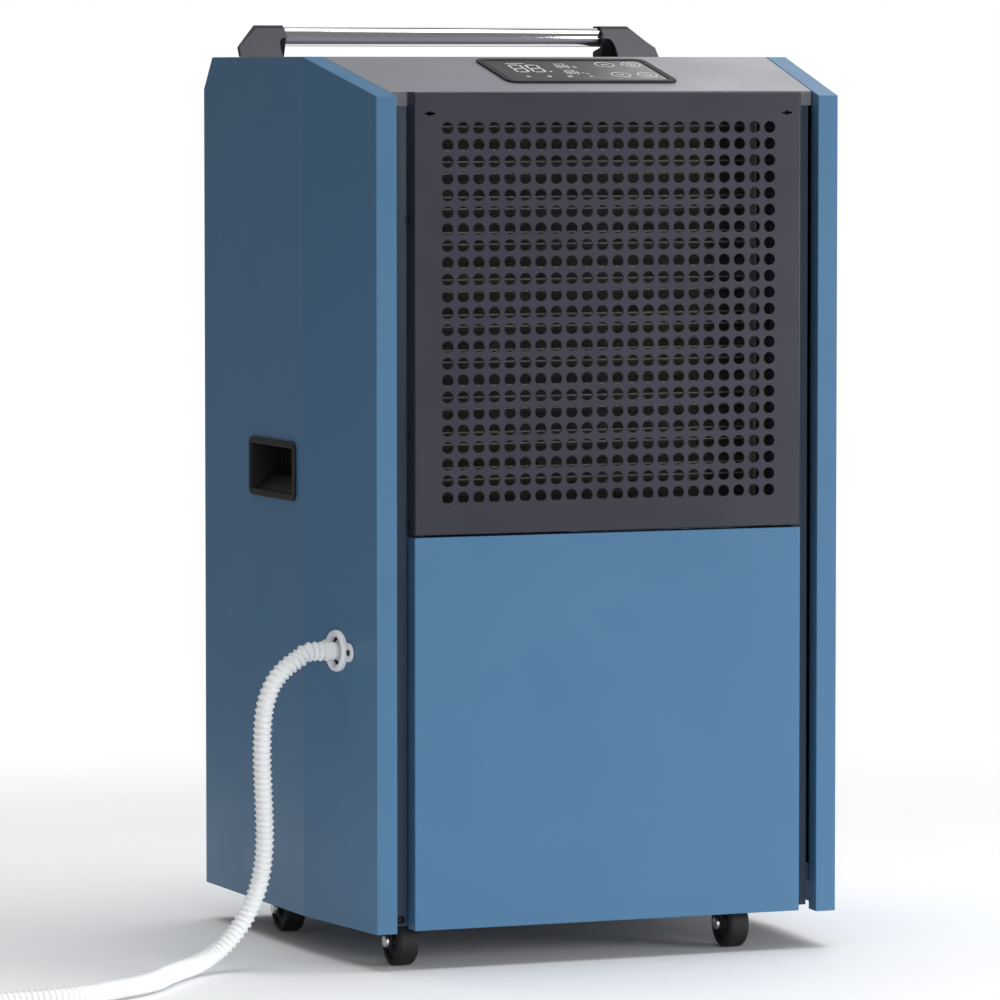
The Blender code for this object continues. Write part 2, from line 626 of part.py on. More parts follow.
def fan_motor(material):
    """Motor behind the impeller; its shaft passes through the hub."""
    return turned("fan_motor", [(0, -0.014), (0.0040, -0.014), (0.0040, 0.018), (0.014, 0.018),
                                (0.014, 0.022), (0.036, 0.024), (0.040, 0.030), (0.040, 0.070),
                                (0.036, 0.076), (0, 0.076)],
                  28, material, location=(0, FAN_Y, FAN_Z), rotation=(-math.pi / 2, 0, 0))


def motor_bracket(material):
    """Strap behind the motor, with feet on the shroud."""
    face = CONDENSER_Y + COIL_DEPTH + 0.008 + GAP
    back = FAN_Y + 0.076 + GAP
    outline = [(-0.200, face), (-0.165, face), (-0.165, face + 0.003), (-0.168, face + 0.003), (-0.168, back),
               (0.168, back), (0.168, face + 0.003), (0.165, face + 0.003), (0.165, face), (0.200, face),
               (0.200, face + 0.003), (0.171, face + 0.003), (0.171, back + 0.003),
               (-0.171, back + 0.003), (-0.171, face + 0.003), (-0.200, face + 0.003)]
    return prism("fan_motor_bracket", outline, "Z", FAN_Z - 0.016, FAN_Z + 0.016, material)


def compressor(material):
    """Sealed compressor: shell with domed ends on a plate with four feet."""
    x, y, foot = 0.105, 0.085, PAN_TOP + 0.006
    shell = turned("compressor", [(0, foot + 0.004), (0.045, foot + 0.004), (0.066, foot + 0.018),
                                  (0.070, foot + 0.034), (0.070, 0.100), (0.0725, 0.104), (0.0725, 0.112),
                                  (0.070, 0.116), (0.070, 0.255), (0.066, 0.272), (0.045, 0.288), (0, 0.294)],
                   28, material, location=(x, y, 0))
    plate = rounded_outline(0.165, 0.130, 0.020, 3, (x, y))
    boolean(shell, prism("join_compressor_foot", plate, "Z", foot, foot + 0.006), "UNION")
    for i, (sx, sy) in enumerate(((-1, -1), (1, -1), (1, 1), (-1, 1))):
        boolean(shell, cylinder(f"join_compressor_foot_{i}", 0.012, PAN_TOP + GAP, foot + 0.001, 16,
                                location=(x + sx * 0.065, y + sy * 0.048, 0)), "UNION")
    boolean(shell, cylinder("join_compressor_stub", 0.0065, 0.29, 0.305, 12, location=(x, y - 0.025, 0)), "UNION")
    return shell


def condensate_tank(material):
    tank = box("condensate_tank", TANK_LOW, TANK_HIGH, material)
    return boolean(tank, box("cut_tank", [value + 0.003 for value in TANK_LOW],
                             (TANK_HIGH[0] - 0.003, TANK_HIGH[1] - 0.003, TANK_HIGH[2] + 0.01)))


def condensate_pump(material):
    """Tank lid with the pump motor on it, its outlet stub and the float's guide stem."""
    top = TANK_HIGH[2] + GAP
    lid = box("condensate_pump", (TANK_LOW[0], TANK_LOW[1], top), (TANK_HIGH[0], TANK_HIGH[1], top + 0.004), material)
    boolean(lid, turned("join_pump_motor", [(0, top + 0.002), (0.030, top + 0.002), (0.030, top + 0.055),
                                            (0.026, top + 0.062), (0.007, top + 0.062), (0.007, top + 0.080),
                                            (0, top + 0.080)],
                        20, location=(PUMP_X, PUMP_Y, 0)), "UNION")
    boolean(lid, cylinder("join_pump_foot", 0.014, 0.085, top + 0.002, 16, location=(PUMP_X, PUMP_Y, 0)), "UNION")
    stem = {"location": (FLOAT_X, FLOAT_Y, 0)}
    boolean(lid, cylinder("join_float_stem", 0.0045, 0.082, top + 0.002, 16, **stem), "UNION")
    boolean(lid, cylinder("join_float_stop", 0.0075, 0.079, 0.082, 16, **stem), "UNION")
    return boolean(lid, cylinder("cut_lid_inlet", 0.0085, top - 0.01, top + 0.01, 16,
                                 location=(DOWNPIPE_X, DOWNPIPE_Y, 0)))


def pump_float(material):
    """Float that rises on the stem as the tank fills. Its origin is on the stem's axis."""
    return turned("pump_float", [(0.0050, 0.0835), (0.019, 0.0835), (0.0205, 0.086), (0.0205, 0.106),
                                 (0.019, 0.1085), (0.0050, 0.1085)], 20, material, location=(FLOAT_X, FLOAT_Y, 0))


def electrical_box(material):
    """Box for the relays and the run capacitor, under the shelf and open below for its wires."""
    low, high = (-0.030, -0.200, 0.325), (0.170, -0.125, 0.436)
    case = box("electrical_box", low, high, material)
    return boolean(case, box("cut_electrical_box", (low[0] + 0.0015, low[1] + 0.0015, low[2] - 0.01),
                             (high[0] - 0.0015, high[1] - 0.0015, high[2] - 0.0015)))


def cable_gland(material):
    """Gland in the rear panel that a mains lead passes through."""
    return turned("cable_gland", [(0.0042, -0.012), (0.0080, -0.012), (0.0080, GAP), (0.013, GAP),
                                  (0.013, 0.005), (0.0105, 0.007), (0.0085, 0.012), (0.0042, 0.012)],
                  18, material, location=(0.180, REAR, 0.130), rotation=(-math.pi / 2, 0, 0))


def pipes(material):
    """Copper pipes from the compressor to the two coils, through the shelf's slot."""
    runs = {
        "discharge_pipe": [(0.105, 0.060, 0.3065), (0.105, 0.055, 0.330), (0.120, 0.020, 0.360), (0.190, -0.060, 0.380),
                           (0.215, -0.105, 0.400), (0.217, -0.107, 0.450), (0.217, -0.107, 0.620), (0.217, -0.107, 0.800),
                           (0.212, -0.108, 0.830)],
        "suction_pipe": [(0.180, 0.060, 0.200), (0.205, 0.040, 0.215), (0.220, 0.000, 0.260), (0.222, -0.080, 0.360),
                         (0.220, -0.130, 0.410), (0.220, -0.134, 0.450), (0.219, -0.135, 0.480), (0.216, -0.145, 0.500)],
    }
    for name, route in runs.items():
        tube(name, smooth_route([Vector(point) for point in route], 0.020), 0.0045, material)


# --- Drain port and hose ---

def port_frame():
    """Rotation that turns the drain port's +X out of the tapered left side, and its centre."""
    outward = math.pi + TAPER
    y = FRONT + PORT_BEHIND
    return Vector((-half_width(y), y, PORT_Z)), outward


def from_port(out):
    """A point on the drain port's axis, this far out of the side panel."""
    centre, outward = port_frame()
    return centre + out * Vector((math.cos(outward), math.sin(outward), 0))


def port_turned(name, profile, steps=24, material=None):
    """A piece turned about the port's axis; heights run out of the panel."""
    centre, outward = port_frame()
    return turned(name, profile, steps, material, centre, (0, math.pi / 2, outward))


def drain_port(panel, materials):
    """Hole in the left panel, flange with two screw ears, and the spout through it."""
    boolean(panel, port_turned("cut_port", [(0, -0.01), (0.0150, -0.01), (0.0150, 0.01), (0, 0.01)]))
    centre, outward = port_frame()
    ears = rounded_outline(0.071, 0.019, 0.0094, 6)
    flange = prism("drain_port_flange", ears, "X", GAP, 0.0032, materials["white"], centre, (0, 0, outward))
    boolean(flange, port_turned("join_port_ring", [(0, GAP), (0.0212, GAP), (0.0212, 0.0045), (0.0197, 0.0060), (0, 0.0060)], 32), "UNION")
    boolean(flange, port_turned("cut_port_ring", [(0, -0.01), (0.0145, -0.01), (0.0145, 0.02), (0, 0.02)]))
    port_turned("drain_spout", [(0.0060, -0.030), (0.0078, -0.030), (0.0120, -0.006), (0.0122, 0.004),
                                (SPOUT_RADIUS, 0.0055), (SPOUT_RADIUS, SPOUT_OUT), (0.0060, SPOUT_OUT)],
                24, materials["white"])


def drain_hose(material):
    """Flexible hose: out of the spout, down to the floor and along it to the coil."""
    route = [from_port(SPOUT_OUT + GAP), from_port(0.034)]
    route += [Vector(point) for point in (
        (-0.3060, -0.1580, 0.3125), (-0.3215, -0.1595, 0.3025), (-0.3335, -0.1605, 0.2900),
        (-0.3415, -0.1615, 0.2740), (-0.3458, -0.1620, 0.2560), (-0.3475, -0.1625, 0.2350),
        (-0.3480, -0.1630, 0.2120), (-0.3472, -0.1630, 0.1860), (-0.3460, -0.1630, 0.1600),
        (-0.3455, -0.1630, 0.1340), (-0.3470, -0.1632, 0.1100), (-0.3515, -0.1637, 0.0870),
        (-0.3600, -0.1650, 0.0660), (-0.3720, -0.1670, 0.0470), (-0.3870, -0.1700, 0.0310),
        (-0.4070, -0.1770, 0.0180), (-0.4310, -0.1935, 0.0114), (-0.4555, -0.2180, 0.0106),
        (-0.4790, -0.2470, 0.0106), (-0.5000, -0.2760, 0.0106), (-0.5240, -0.2985, 0.0106),
        (-0.5570, -0.3200, 0.0106), (-0.5900, -0.3390, 0.0106), (-0.6250, -0.3500, 0.0106),
        (-0.6600, -0.3545, 0.0106), (-0.7000, -0.3585, 0.0106), (-0.7430, -0.3625, 0.0106))]
    tube("drain_hose", smooth_route(route, 0.021), HOSE_RADIUS, material, 3)


def hose_coil(materials):
    """Two layers of the coiled hose as one ring, cut away above where the hose ends, and the end cuff."""
    inner, outer = COIL_RADIUS - 0.0108, COIL_RADIUS + 0.0108
    low, high = 0.0002, 2 * COIL_LAYER
    ring = turned("drain_hose_coil", [(inner, low), (outer, low), (outer, high), (inner, high)], 40,
                  materials["white"], location=(*COIL_CENTRE, 0))
    start = -math.pi / 2 - COIL_END_TURN * math.tau
    open_turn = math.radians(80)
    notch = [(0, 0)] + [(0.2 * math.cos(start - open_turn * i / 4), 0.2 * math.sin(start - open_turn * i / 4))
                        for i in range(5)]
    boolean(ring, prism("cut_coil_end", notch, "Z", COIL_LAYER, 0.06, location=(*COIL_CENTRE, 0)))
    end = Vector((*COIL_CENTRE, 1.5 * COIL_LAYER + 0.0012)) + COIL_RADIUS * Vector((math.cos(start), math.sin(start), 0))
    onward = start - math.pi / 2
    turned("drain_hose_cuff", [(0.0062, 0.0016), (0.0098, 0.0016), (0.0098, 0.012), (0.0090, 0.014),
                               (0.0090, CUFF_LENGTH), (0.0062, CUFF_LENGTH)], 20, materials["white"],
           location=end, rotation=(0, math.pi / 2, onward))


def build():
    clear_scene()
    materials = {
        "blue": make_material("blue_paint", (0.075, 0.165, 0.270), 0.38),
        "grey": make_material("grey_paint", (0.095, 0.095, 0.120), 0.40),
        "cover": make_material("cover_paint", (0.330, 0.340, 0.370), 0.34),
        "navy": make_material("chassis_paint", (0.030, 0.060, 0.105), 0.45),
        "zinc": make_material("zinc_plate", (0.560, 0.570, 0.580), 0.35, 1.0),
        "chrome": make_material("chrome", (0.800, 0.810, 0.830), 0.10, 1.0),
        "black": make_material("black_plastic", (0.018, 0.018, 0.020), 0.55),
        "white": make_material("white_plastic", (0.800, 0.810, 0.840), 0.45),
        "glass": make_material("display_glass", (0.085, 0.095, 0.095), 0.12),
        "board": make_material("circuit_board", (0.030, 0.160, 0.070), 0.50),
        "copper": make_material("copper", (0.720, 0.360, 0.220), 0.30, 1.0),
        "fins": make_material("aluminium_fins", (0.600, 0.610, 0.620), 0.40, 1.0),
        "clear": make_material("tank_plastic", (0.450, 0.480, 0.500), 0.40),
    }

    panels = {side: side_panel(side, sign, materials["blue"]) for side, sign in SIDES}
    front_tray("front_grille", GRILLE_BOTTOM, GRILLE_TOP, materials["grey"])
    front_tray("lower_front_panel", LOWER_BOTTOM, LOWER_TOP, materials["blue"])
    top_cover(materials["cover"])
    rear_panel(materials["blue"])
    outlet_grille(materials["black"])

    display_bezel(materials["black"])
    slope_plate("display_glass", GLASS_SIZE, 0.0057, -0.0015, 0.0014, materials["glass"])
    control_board(materials["board"])

    cylinder("handle_bar", BAR_RADIUS, -0.200, 0.200, 32, material=materials["chrome"],
             location=(0, BAR_Y, BAR_Z), rotation=(0, math.pi / 2, 0))
    for side, sign in SIDES:
        handle_bracket(side, sign, materials["grey"])
        handle_support(side, sign, materials["black"])
        side_grip(side, sign, materials["black"])
        corner_post(side, sign, materials["navy"])
    for place, (x, y) in CASTORS.items():
        castor(place, x, y, materials)

    base_pan(materials["navy"])
    partition_shelf(materials["zinc"])
    coil("evaporator", EVAPORATOR_Y, materials["fins"])
    coil("condenser", CONDENSER_Y, materials["fins"])
    air_filter(materials["black"])
    drip_tray(materials["black"])
    fan_shroud(materials["zinc"])
    fan_impeller(materials["black"])
    fan_motor(materials["zinc"])
    motor_bracket(materials["zinc"])
    compressor(materials["black"])
    condensate_tank(materials["clear"])
    condensate_pump(materials["black"])
    pump_float(materials["white"])
    tube("condensate_downpipe", [Vector((DOWNPIPE_X, DOWNPIPE_Y, z)) for z in (0.4275, 0.3, 0.160)],
         0.0075, materials["clear"])
    pump_outlet = [(PUMP_X, PUMP_Y, 0.2464), (PUMP_X, PUMP_Y, 0.262), (-0.135, -0.147, 0.290),
                   (-0.165, -0.149, 0.312), tuple(from_port(-0.048)), tuple(from_port(-0.0304))]
    tube("pump_outlet_tube", smooth_route([Vector(point) for point in pump_outlet], 0.012), 0.006,
         materials["clear"])
    electrical_box(materials["zinc"])
    pipes(materials["copper"])
    cable_gland(materials["black"])

    drain_port(panels["left"], materials)
    drain_hose(materials["white"])
    hose_coil(materials)


build()
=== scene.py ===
"""Looks of the cabinet dehumidifier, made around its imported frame.

Everything is in metres in the frame's axes: +Z up, the front towards -Y, left is -X.
"""

import math

import bmesh
import bpy
from mathutils import Matrix, Vector


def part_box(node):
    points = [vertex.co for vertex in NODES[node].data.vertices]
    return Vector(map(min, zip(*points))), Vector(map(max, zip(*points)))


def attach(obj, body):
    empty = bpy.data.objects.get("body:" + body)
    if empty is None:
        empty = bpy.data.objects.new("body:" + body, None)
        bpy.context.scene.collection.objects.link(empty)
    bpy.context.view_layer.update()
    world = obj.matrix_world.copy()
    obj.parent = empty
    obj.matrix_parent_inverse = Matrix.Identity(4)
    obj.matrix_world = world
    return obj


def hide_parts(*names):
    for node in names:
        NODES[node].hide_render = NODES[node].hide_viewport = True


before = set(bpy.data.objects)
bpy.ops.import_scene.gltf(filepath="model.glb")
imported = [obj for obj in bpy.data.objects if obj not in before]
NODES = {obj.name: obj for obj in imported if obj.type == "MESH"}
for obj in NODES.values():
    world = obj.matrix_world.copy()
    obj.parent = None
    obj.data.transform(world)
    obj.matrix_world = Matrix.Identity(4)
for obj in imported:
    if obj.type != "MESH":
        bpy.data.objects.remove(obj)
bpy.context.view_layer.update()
BODY = "cabinet"
SIDES = (("left", -1), ("right", 1))
PLACES = ("front_left", "front_right", "rear_left", "rear_right")

# Drain hose, as in the part's source
HOSE_RADIUS = 0.010
RIB_PITCH = 0.0062
RIB_STEPS = 10
RIB_DEPTH = 0.0019
HOSE_SIDES = 28
COIL_CENTRE = Vector((-0.815, -0.255, 0.0))
COIL_RADIUS = 0.110
COIL_TURNS = 1.60
COIL_STEPS = 24                        # points for each turn
COIL_LOW, COIL_HIGH = 0.0106, 0.03225  # heights of the hose's middle in the two layers
CLIMB_START, CLIMB_END = 0.71, 0.89    # turns between which it climbs to the second layer
HOSE_ROUTE = (
    (-0.3060, -0.1580, 0.3125), (-0.3215, -0.1595, 0.3025), (-0.3335, -0.1605, 0.2900),
    (-0.3415, -0.1615, 0.2740), (-0.3458, -0.1620, 0.2560), (-0.3475, -0.1625, 0.2350),
    (-0.3480, -0.1630, 0.2120), (-0.3472, -0.1630, 0.1860), (-0.3460, -0.1630, 0.1600),
    (-0.3455, -0.1630, 0.1340), (-0.3470, -0.1632, 0.1100), (-0.3515, -0.1637, 0.0870),
    (-0.3600, -0.1650, 0.0660), (-0.3720, -0.1670, 0.0470), (-0.3870, -0.1700, 0.0310),
    (-0.4070, -0.1770, 0.0180), (-0.4310, -0.1935, 0.0114), (-0.4555, -0.2180, 0.0106),
    (-0.4790, -0.2470, 0.0106), (-0.5000, -0.2760, 0.0106), (-0.5240, -0.2985, 0.0106),
    (-0.5570, -0.3200, 0.0106), (-0.5900, -0.3390, 0.0106), (-0.6250, -0.3500, 0.0106),
    (-0.6600, -0.3545, 0.0106), (-0.7000, -0.3585, 0.0106), (-0.7430, -0.3625, 0.0106))

# The case: its sides taper and its top falls from the bend to the front
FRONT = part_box("front_grille")[0].y
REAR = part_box("rear_panel")[1].y
HALF_FRONT, HALF_REAR = 0.2535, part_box("side_panel_right")[1].x
BEND = FRONT + 0.165
SLOPE_DROP = 0.0395
SLOPE = math.atan2(SLOPE_DROP, BEND - FRONT)
TAPER = math.atan2(HALF_REAR - HALF_FRONT, BEND - FRONT)
SHEET = 0.0016


# --- Camera, light and floor ---

CAMERA_PLACE = (-2.5348, -6.1628, 0.9023)
CAMERA_DOWN = 3.8437                # degrees below the horizon
CAMERA_RIGHT = 22.1747              # degrees from straight ahead
SENSOR_WIDTH, LENS = 36.0, 229.27   # millimetres
FLOOR_RADIUS = 1.9
FLOOR_FADE = 1.0                    # the floor is solid out to here
SEEN_WHITE, LIT_WHITE = 1.0, 0.22   # strength of the surroundings to the eye and as light


def add_camera():
    """A long lens in front of the object, to its left and a little above."""
    data = bpy.data.cameras.new("camera")
    data.sensor_width = SENSOR_WIDTH
    data.lens = LENS
    camera = bpy.data.objects.new("camera", data)
    camera.location = CAMERA_PLACE
    camera.rotation_euler = (math.radians(90 - CAMERA_DOWN), 0.0, math.radians(-CAMERA_RIGHT))
    bpy.context.scene.collection.objects.link(camera)
    bpy.context.scene.camera = camera


def add_sun(name, azimuth, elevation, strength, angle):
    """A soft light from a compass direction: azimuth 0 is the front and 90 the right."""
    data = bpy.data.lights.new(name, "SUN")
    data.energy = strength
    data.angle = math.radians(angle)
    sun = bpy.data.objects.new(name, data)
    a, e = math.radians(azimuth), math.radians(elevation)
    towards = Vector((math.sin(a) * math.cos(e), -math.cos(a) * math.cos(e), math.sin(e)))
    sun.rotation_euler = towards.to_track_quat("Z", "Y").to_euler()
    sun.location = 3 * towards
    bpy.context.scene.collection.objects.link(sun)


def add_panel(name, location, target, width, height, power):
    """A soft box: a lit rectangle turned to a target, not seen itself."""
    data = bpy.data.lights.new(name, "AREA")
    data.shape = "RECTANGLE"
    data.size, data.size_y = width, height
    data.energy = power
    panel = bpy.data.objects.new(name, data)
    panel.location = location
    panel.rotation_euler = (Vector(location) - Vector(target)).to_track_quat("Z", "Y").to_euler()
    panel.visible_camera = False
    bpy.context.scene.collection.objects.link(panel)


def add_lights():
    """Soft boxes for the front, the right, the top and the cover's gloss, and a wide sun for the floor."""
    add_panel("front_light", (-0.7, -4.2, 1.0), (0, 0, 0.45), width=1.8, height=1.8, power=46)
    add_panel("right_light", (3.2, -2.9, 0.7), (0, 0, 0.45), width=2.2, height=1.4, power=98)
    add_panel("top_light", (1.25, -0.30, 2.80), (0, 0, 0.5), width=1.2, height=1.5, power=24)
    add_panel("cover_light", (1.85, 1.8, 2.3), (0, 0, 0.9), width=1.7, height=1.2, power=6.5)
    add_sun("floor_light", azimuth=172, elevation=84, strength=1.55, angle=50)


def add_surroundings():
    """White world: bright to the camera, dim as a light."""
    world = bpy.data.worlds.new("studio")
    world.use_nodes = True
    nodes, links = world.node_tree.nodes, world.node_tree.links
    nodes.clear()
    seen, lighting = nodes.new("ShaderNodeBackground"), nodes.new("ShaderNodeBackground")
    seen.inputs["Strength"].default_value = SEEN_WHITE
    lighting.inputs["Strength"].default_value = LIT_WHITE
    rays, mix, output = (nodes.new(kind) for kind in
                         ("ShaderNodeLightPath", "ShaderNodeMixShader", "ShaderNodeOutputWorld"))
    for background in (seen, lighting):
        background.inputs["Color"].default_value = (1.0, 1.0, 1.0, 1.0)
    links.new(rays.outputs["Is Camera Ray"], mix.inputs["Fac"])
    links.new(lighting.outputs[0], mix.inputs[1])
    links.new(seen.outputs[0], mix.inputs[2])
    links.new(mix.outputs[0], output.inputs["Surface"])
    bpy.context.scene.world = world
    bpy.context.scene.view_settings.view_transform = "Standard"


def add_floor():
    """Pale round floor under the object."""
    bm = bmesh.new()
    bmesh.ops.create_circle(bm, cap_ends=True, segments=96, radius=FLOOR_RADIUS)
    floor = bpy.data.objects.new("floor", finished(bm, "floor"))
    floor.data.materials.append(floor_finish())
    bpy.context.scene.collection.objects.link(floor)


def floor_finish():
    """Pale floor that fades into the white around it."""
    material = surface("floor_finish", (0.93, 0.93, 0.94), 0.7, mottle=0.0, grain=0.004, depth=0.00002,
                       Specular_IOR_Level=0.2)
    nodes, links = material.node_tree.nodes, material.node_tree.links
    distance = nodes.new("ShaderNodeVectorMath")
    distance.operation = "LENGTH"
    links.new(nodes.new("ShaderNodeTexCoord").outputs["Object"], distance.inputs[0])
    fade = nodes.new("ShaderNodeMapRange")
    fade.interpolation_type = "SMOOTHSTEP"
    fade.inputs["From Min"].default_value = FLOOR_FADE
    fade.inputs["From Max"].default_value = FLOOR_RADIUS - 0.02
    links.new(distance.outputs["Value"], fade.inputs["Value"])
    clear, mix = nodes.new("ShaderNodeBsdfTransparent"), nodes.new("ShaderNodeMixShader")
    links.new(fade.outputs["Result"], mix.inputs["Fac"])
    links.new(nodes["Principled BSDF"].outputs[0], mix.inputs[1])
    links.new(clear.outputs[0], mix.inputs[2])
    links.new(mix.outputs[0], nodes["Material Output"].inputs["Surface"])
    return material


# --- Materials ---

def surface(name, colour, roughness, metallic=0.0, mottle=0.03, mottle_size=0.09, spread=0.05,
            grain=0.0015, depth=0.00001, stretch=(1, 1, 1), cells=False, **sockets):
    """A material whose colour and roughness drift slowly and whose bump comes from fine noise.

    mottle is the share by which the colour drifts over mottle_size metres, and spread is how far
    the roughness drifts. grain is the size of the surface's texture and depth its height. stretch
    draws the texture out along the axes. cells gives crystals, as on zinc plate, in place of grains.
    """
    material = bpy.data.materials.new(name)
    material.use_nodes = True
    nodes, links = material.node_tree.nodes, material.node_tree.links
    shader = nodes["Principled BSDF"]
    shader.inputs["Metallic"].default_value = metallic
    for socket, value in sockets.items():
        shader.inputs[socket.replace("_", " ")].default_value = value

    place = nodes.new("ShaderNodeTexCoord").outputs["Object"]
    if stretch != (1, 1, 1):
        mapping = nodes.new("ShaderNodeMapping")
        mapping.inputs["Scale"].default_value = [1 / value for value in stretch]
        links.new(place, mapping.inputs["Vector"])
        place = mapping.outputs["Vector"]

    drift = nodes.new("ShaderNodeTexNoise")
    drift.inputs["Scale"].default_value = 1 / mottle_size
    drift.inputs["Detail"].default_value = 4.0
    links.new(place, drift.inputs["Vector"])
    tint = nodes.new("ShaderNodeValToRGB")
    for stop, at, share in zip(tint.color_ramp.elements, (0.3, 0.7), (1 - mottle, 1 + mottle)):
        stop.position = at
        stop.color = (*[min(1.0, value * share) for value in colour], 1.0)
    links.new(drift.outputs["Fac"], tint.inputs["Fac"])
    links.new(tint.outputs["Color"], shader.inputs["Base Color"])

    gloss = nodes.new("ShaderNodeMapRange")
    gloss.inputs["From Min"].default_value = 0.3
    gloss.inputs["From Max"].default_value = 0.7
    gloss.inputs["To Min"].default_value = max(0.02, roughness - spread)
    gloss.inputs["To Max"].default_value = min(1.0, roughness + spread)
    links.new(drift.outputs["Fac"], gloss.inputs["Value"])
    links.new(gloss.outputs["Result"], shader.inputs["Roughness"])

    texture = nodes.new("ShaderNodeTexVoronoi" if cells else "ShaderNodeTexNoise")
    texture.inputs["Scale"].default_value = 1 / grain
    links.new(place, texture.inputs["Vector"])
    bump = nodes.new("ShaderNodeBump")
    bump.inputs["Distance"].default_value = depth
    links.new(texture.outputs[0], bump.inputs["Height"])
    links.new(bump.outputs["Normal"], shader.inputs["Normal"])
    return material


def make_finishes():
    """The material of each of the record's slots, and of what has no slot."""
    return {
        "blue_paint": surface("blue_paint", (0.076, 0.184, 0.320), 0.36, grain=0.0016, depth=0.000012,
                              mottle=0.012, Specular_IOR_Level=0.18),
        "grey_paint": surface("grey_paint", (0.036, 0.036, 0.051), 0.34, grain=0.0016, depth=0.000012,
                              mottle=0.012, Specular_IOR_Level=0.26),
        "cover_paint": surface("cover_paint", (0.230, 0.235, 0.262), 0.30, grain=0.0016, depth=0.000010,
                               mottle=0.012, Specular_IOR_Level=0.40),
        "chassis_paint": surface("chassis_paint", (0.040, 0.068, 0.105), 0.45),
        "zinc": surface("zinc", (0.560, 0.570, 0.580), 0.36, 1.0, mottle=0.12, mottle_size=0.012,
                        grain=0.006, depth=0.00001, cells=True),
        "chrome": surface("chrome", (0.800, 0.810, 0.830), 0.08, 1.0, mottle=0.01, spread=0.02,
                          grain=0.0006, depth=0.000001, stretch=(20, 1, 1)),
        "black_plastic": surface("black_plastic", (0.010, 0.010, 0.011), 0.50, grain=0.0005, depth=0.00002,
                                 Specular_IOR_Level=0.3),
        "castor_tread": surface("castor_tread", (0.012, 0.012, 0.013), 0.62, mottle=0.15, grain=0.001,
                                depth=0.00003, Specular_IOR_Level=0.3),
        # Black paint of the compressor and the port's screws. It also colours the block of painted shade in
        # each coil.
        "compressor_paint": surface("compressor_paint", (0.012, 0.012, 0.013), 0.35, grain=0.002,
                                    depth=0.00003),
        # Painted shade: aluminium is far lighter. This dark grey stands for the shade the fins sit in, deep
        # behind the grille, and the flat tubes share it.
        "aluminium_fins": surface("aluminium_fins", (0.200, 0.204, 0.196), 0.45, 0.9, mottle=0.10,
                                  mottle_size=0.02, grain=0.0006, depth=0.00001, stretch=(1, 1, 12)),
        "white_plastic": surface("white_plastic", (0.860, 0.870, 0.885), 0.42, mottle=0.01, grain=0.0008,
                                 depth=0.00001, Subsurface_Weight=0.05),
        "hose_plastic": surface("hose_plastic", (0.920, 0.930, 0.940), 0.38, mottle=0.02, mottle_size=0.03,
                                grain=0.0008, depth=0.00001, Subsurface_Weight=0.08),
        "clear_plastic": surface("clear_plastic", (0.700, 0.730, 0.740), 0.25, mottle=0.01,
                                 Transmission_Weight=0.6),
        "display_glass": surface("display_glass", (0.045, 0.050, 0.052), 0.16, mottle=0.02, spread=0.03,
                                 grain=0.003, depth=0.000001, Specular_IOR_Level=0.35),
        "circuit_board": surface("circuit_board", (0.025, 0.140, 0.060), 0.45, mottle=0.15,
                                 mottle_size=0.004),
        "copper": surface("copper", (0.720, 0.360, 0.220), 0.30, 1.0, mottle=0.12, mottle_size=0.03),
        "display_marks": surface("display_marks", (0.720, 0.740, 0.740), 0.5, mottle=0.01),
    }


# --- Shape helpers ---

def finished(bm, name, sharp=35):
    """A mesh from a bmesh: welded, facing out, smooth except where it turns more sharply."""
    bmesh.ops.remove_doubles(bm, verts=bm.verts, dist=1e-6)
    bmesh.ops.recalc_face_normals(bm, faces=bm.faces)
    mesh = bpy.data.meshes.new(name)
    bm.to_mesh(mesh)
    bm.free()
    mesh.shade_smooth()
    mesh.set_sharp_from_angle(angle=math.radians(sharp))
    return mesh


def add_piece(name, mesh, finish, body=BODY, stands_for=(), bevel=0.0, segments=2, flat=False):
    """Link a mesh as a piece that rides on a body, takes a finish and stands for CAD nodes.

    bevel rounds its sharp edges in a number of segments. flat keeps the shading of large faces
    even up to their edges.
    """
    obj = bpy.data.objects.new(name, mesh)
    bpy.context.scene.collection.objects.link(obj)
    mesh.materials.clear()
    mesh.materials.append(FINISHES[finish])
    if bevel:
        modifier = obj.modifiers.new("edges", "BEVEL")
        modifier.limit_method = "ANGLE"
        modifier.angle_limit = math.radians(30)
        modifier.width = bevel
        modifier.segments = segments
        modifier.use_clamp_overlap = False
        modifier.harden_normals = True
    if flat:
        modifier = obj.modifiers.new("even_shading", "WEIGHTED_NORMAL")
        modifier.keep_sharp = True
    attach(obj, body)
    if stands_for:
        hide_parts(*stands_for)
    return obj


def refined(node, finish, bevel, segments=2, body=BODY):
    """The CAD node's own shape with rounded edges."""
    bm = bmesh.new()
    bm.from_mesh(NODES[node].data)
    bmesh.ops.remove_doubles(bm, verts=bm.verts, dist=1e-5)
    bmesh.ops.dissolve_limit(bm, angle_limit=math.radians(1), verts=bm.verts, edges=bm.edges)
    mesh = finished(bm, f"{node}_look")
    return add_piece(f"{node}_look", mesh, finish, body, [node], bevel, segments)


def turn(bm, profile, steps, place=Matrix.Identity(4)):
    """Add a closed profile of (radius, height) points turned about the place's Z axis."""
    rings = []
    for radius, height in profile:
        if radius < 1e-7:
            rings.append([bm.verts.new(place @ Vector((0, 0, height)))] * steps)
            continue
        rings.append([bm.verts.new(place @ Vector((radius * math.cos(math.tau * i / steps),
                                                   radius * math.sin(math.tau * i / steps), height)))
                      for i in range(steps)])
    for lower, upper in zip(rings, rings[1:] + rings[:1]):
        for i in range(steps):
            j = (i + 1) % steps
            corners = list(dict.fromkeys((lower[i], lower[j], upper[j], upper[i])))
            if len(corners) > 2:
                bm.faces.new(corners)


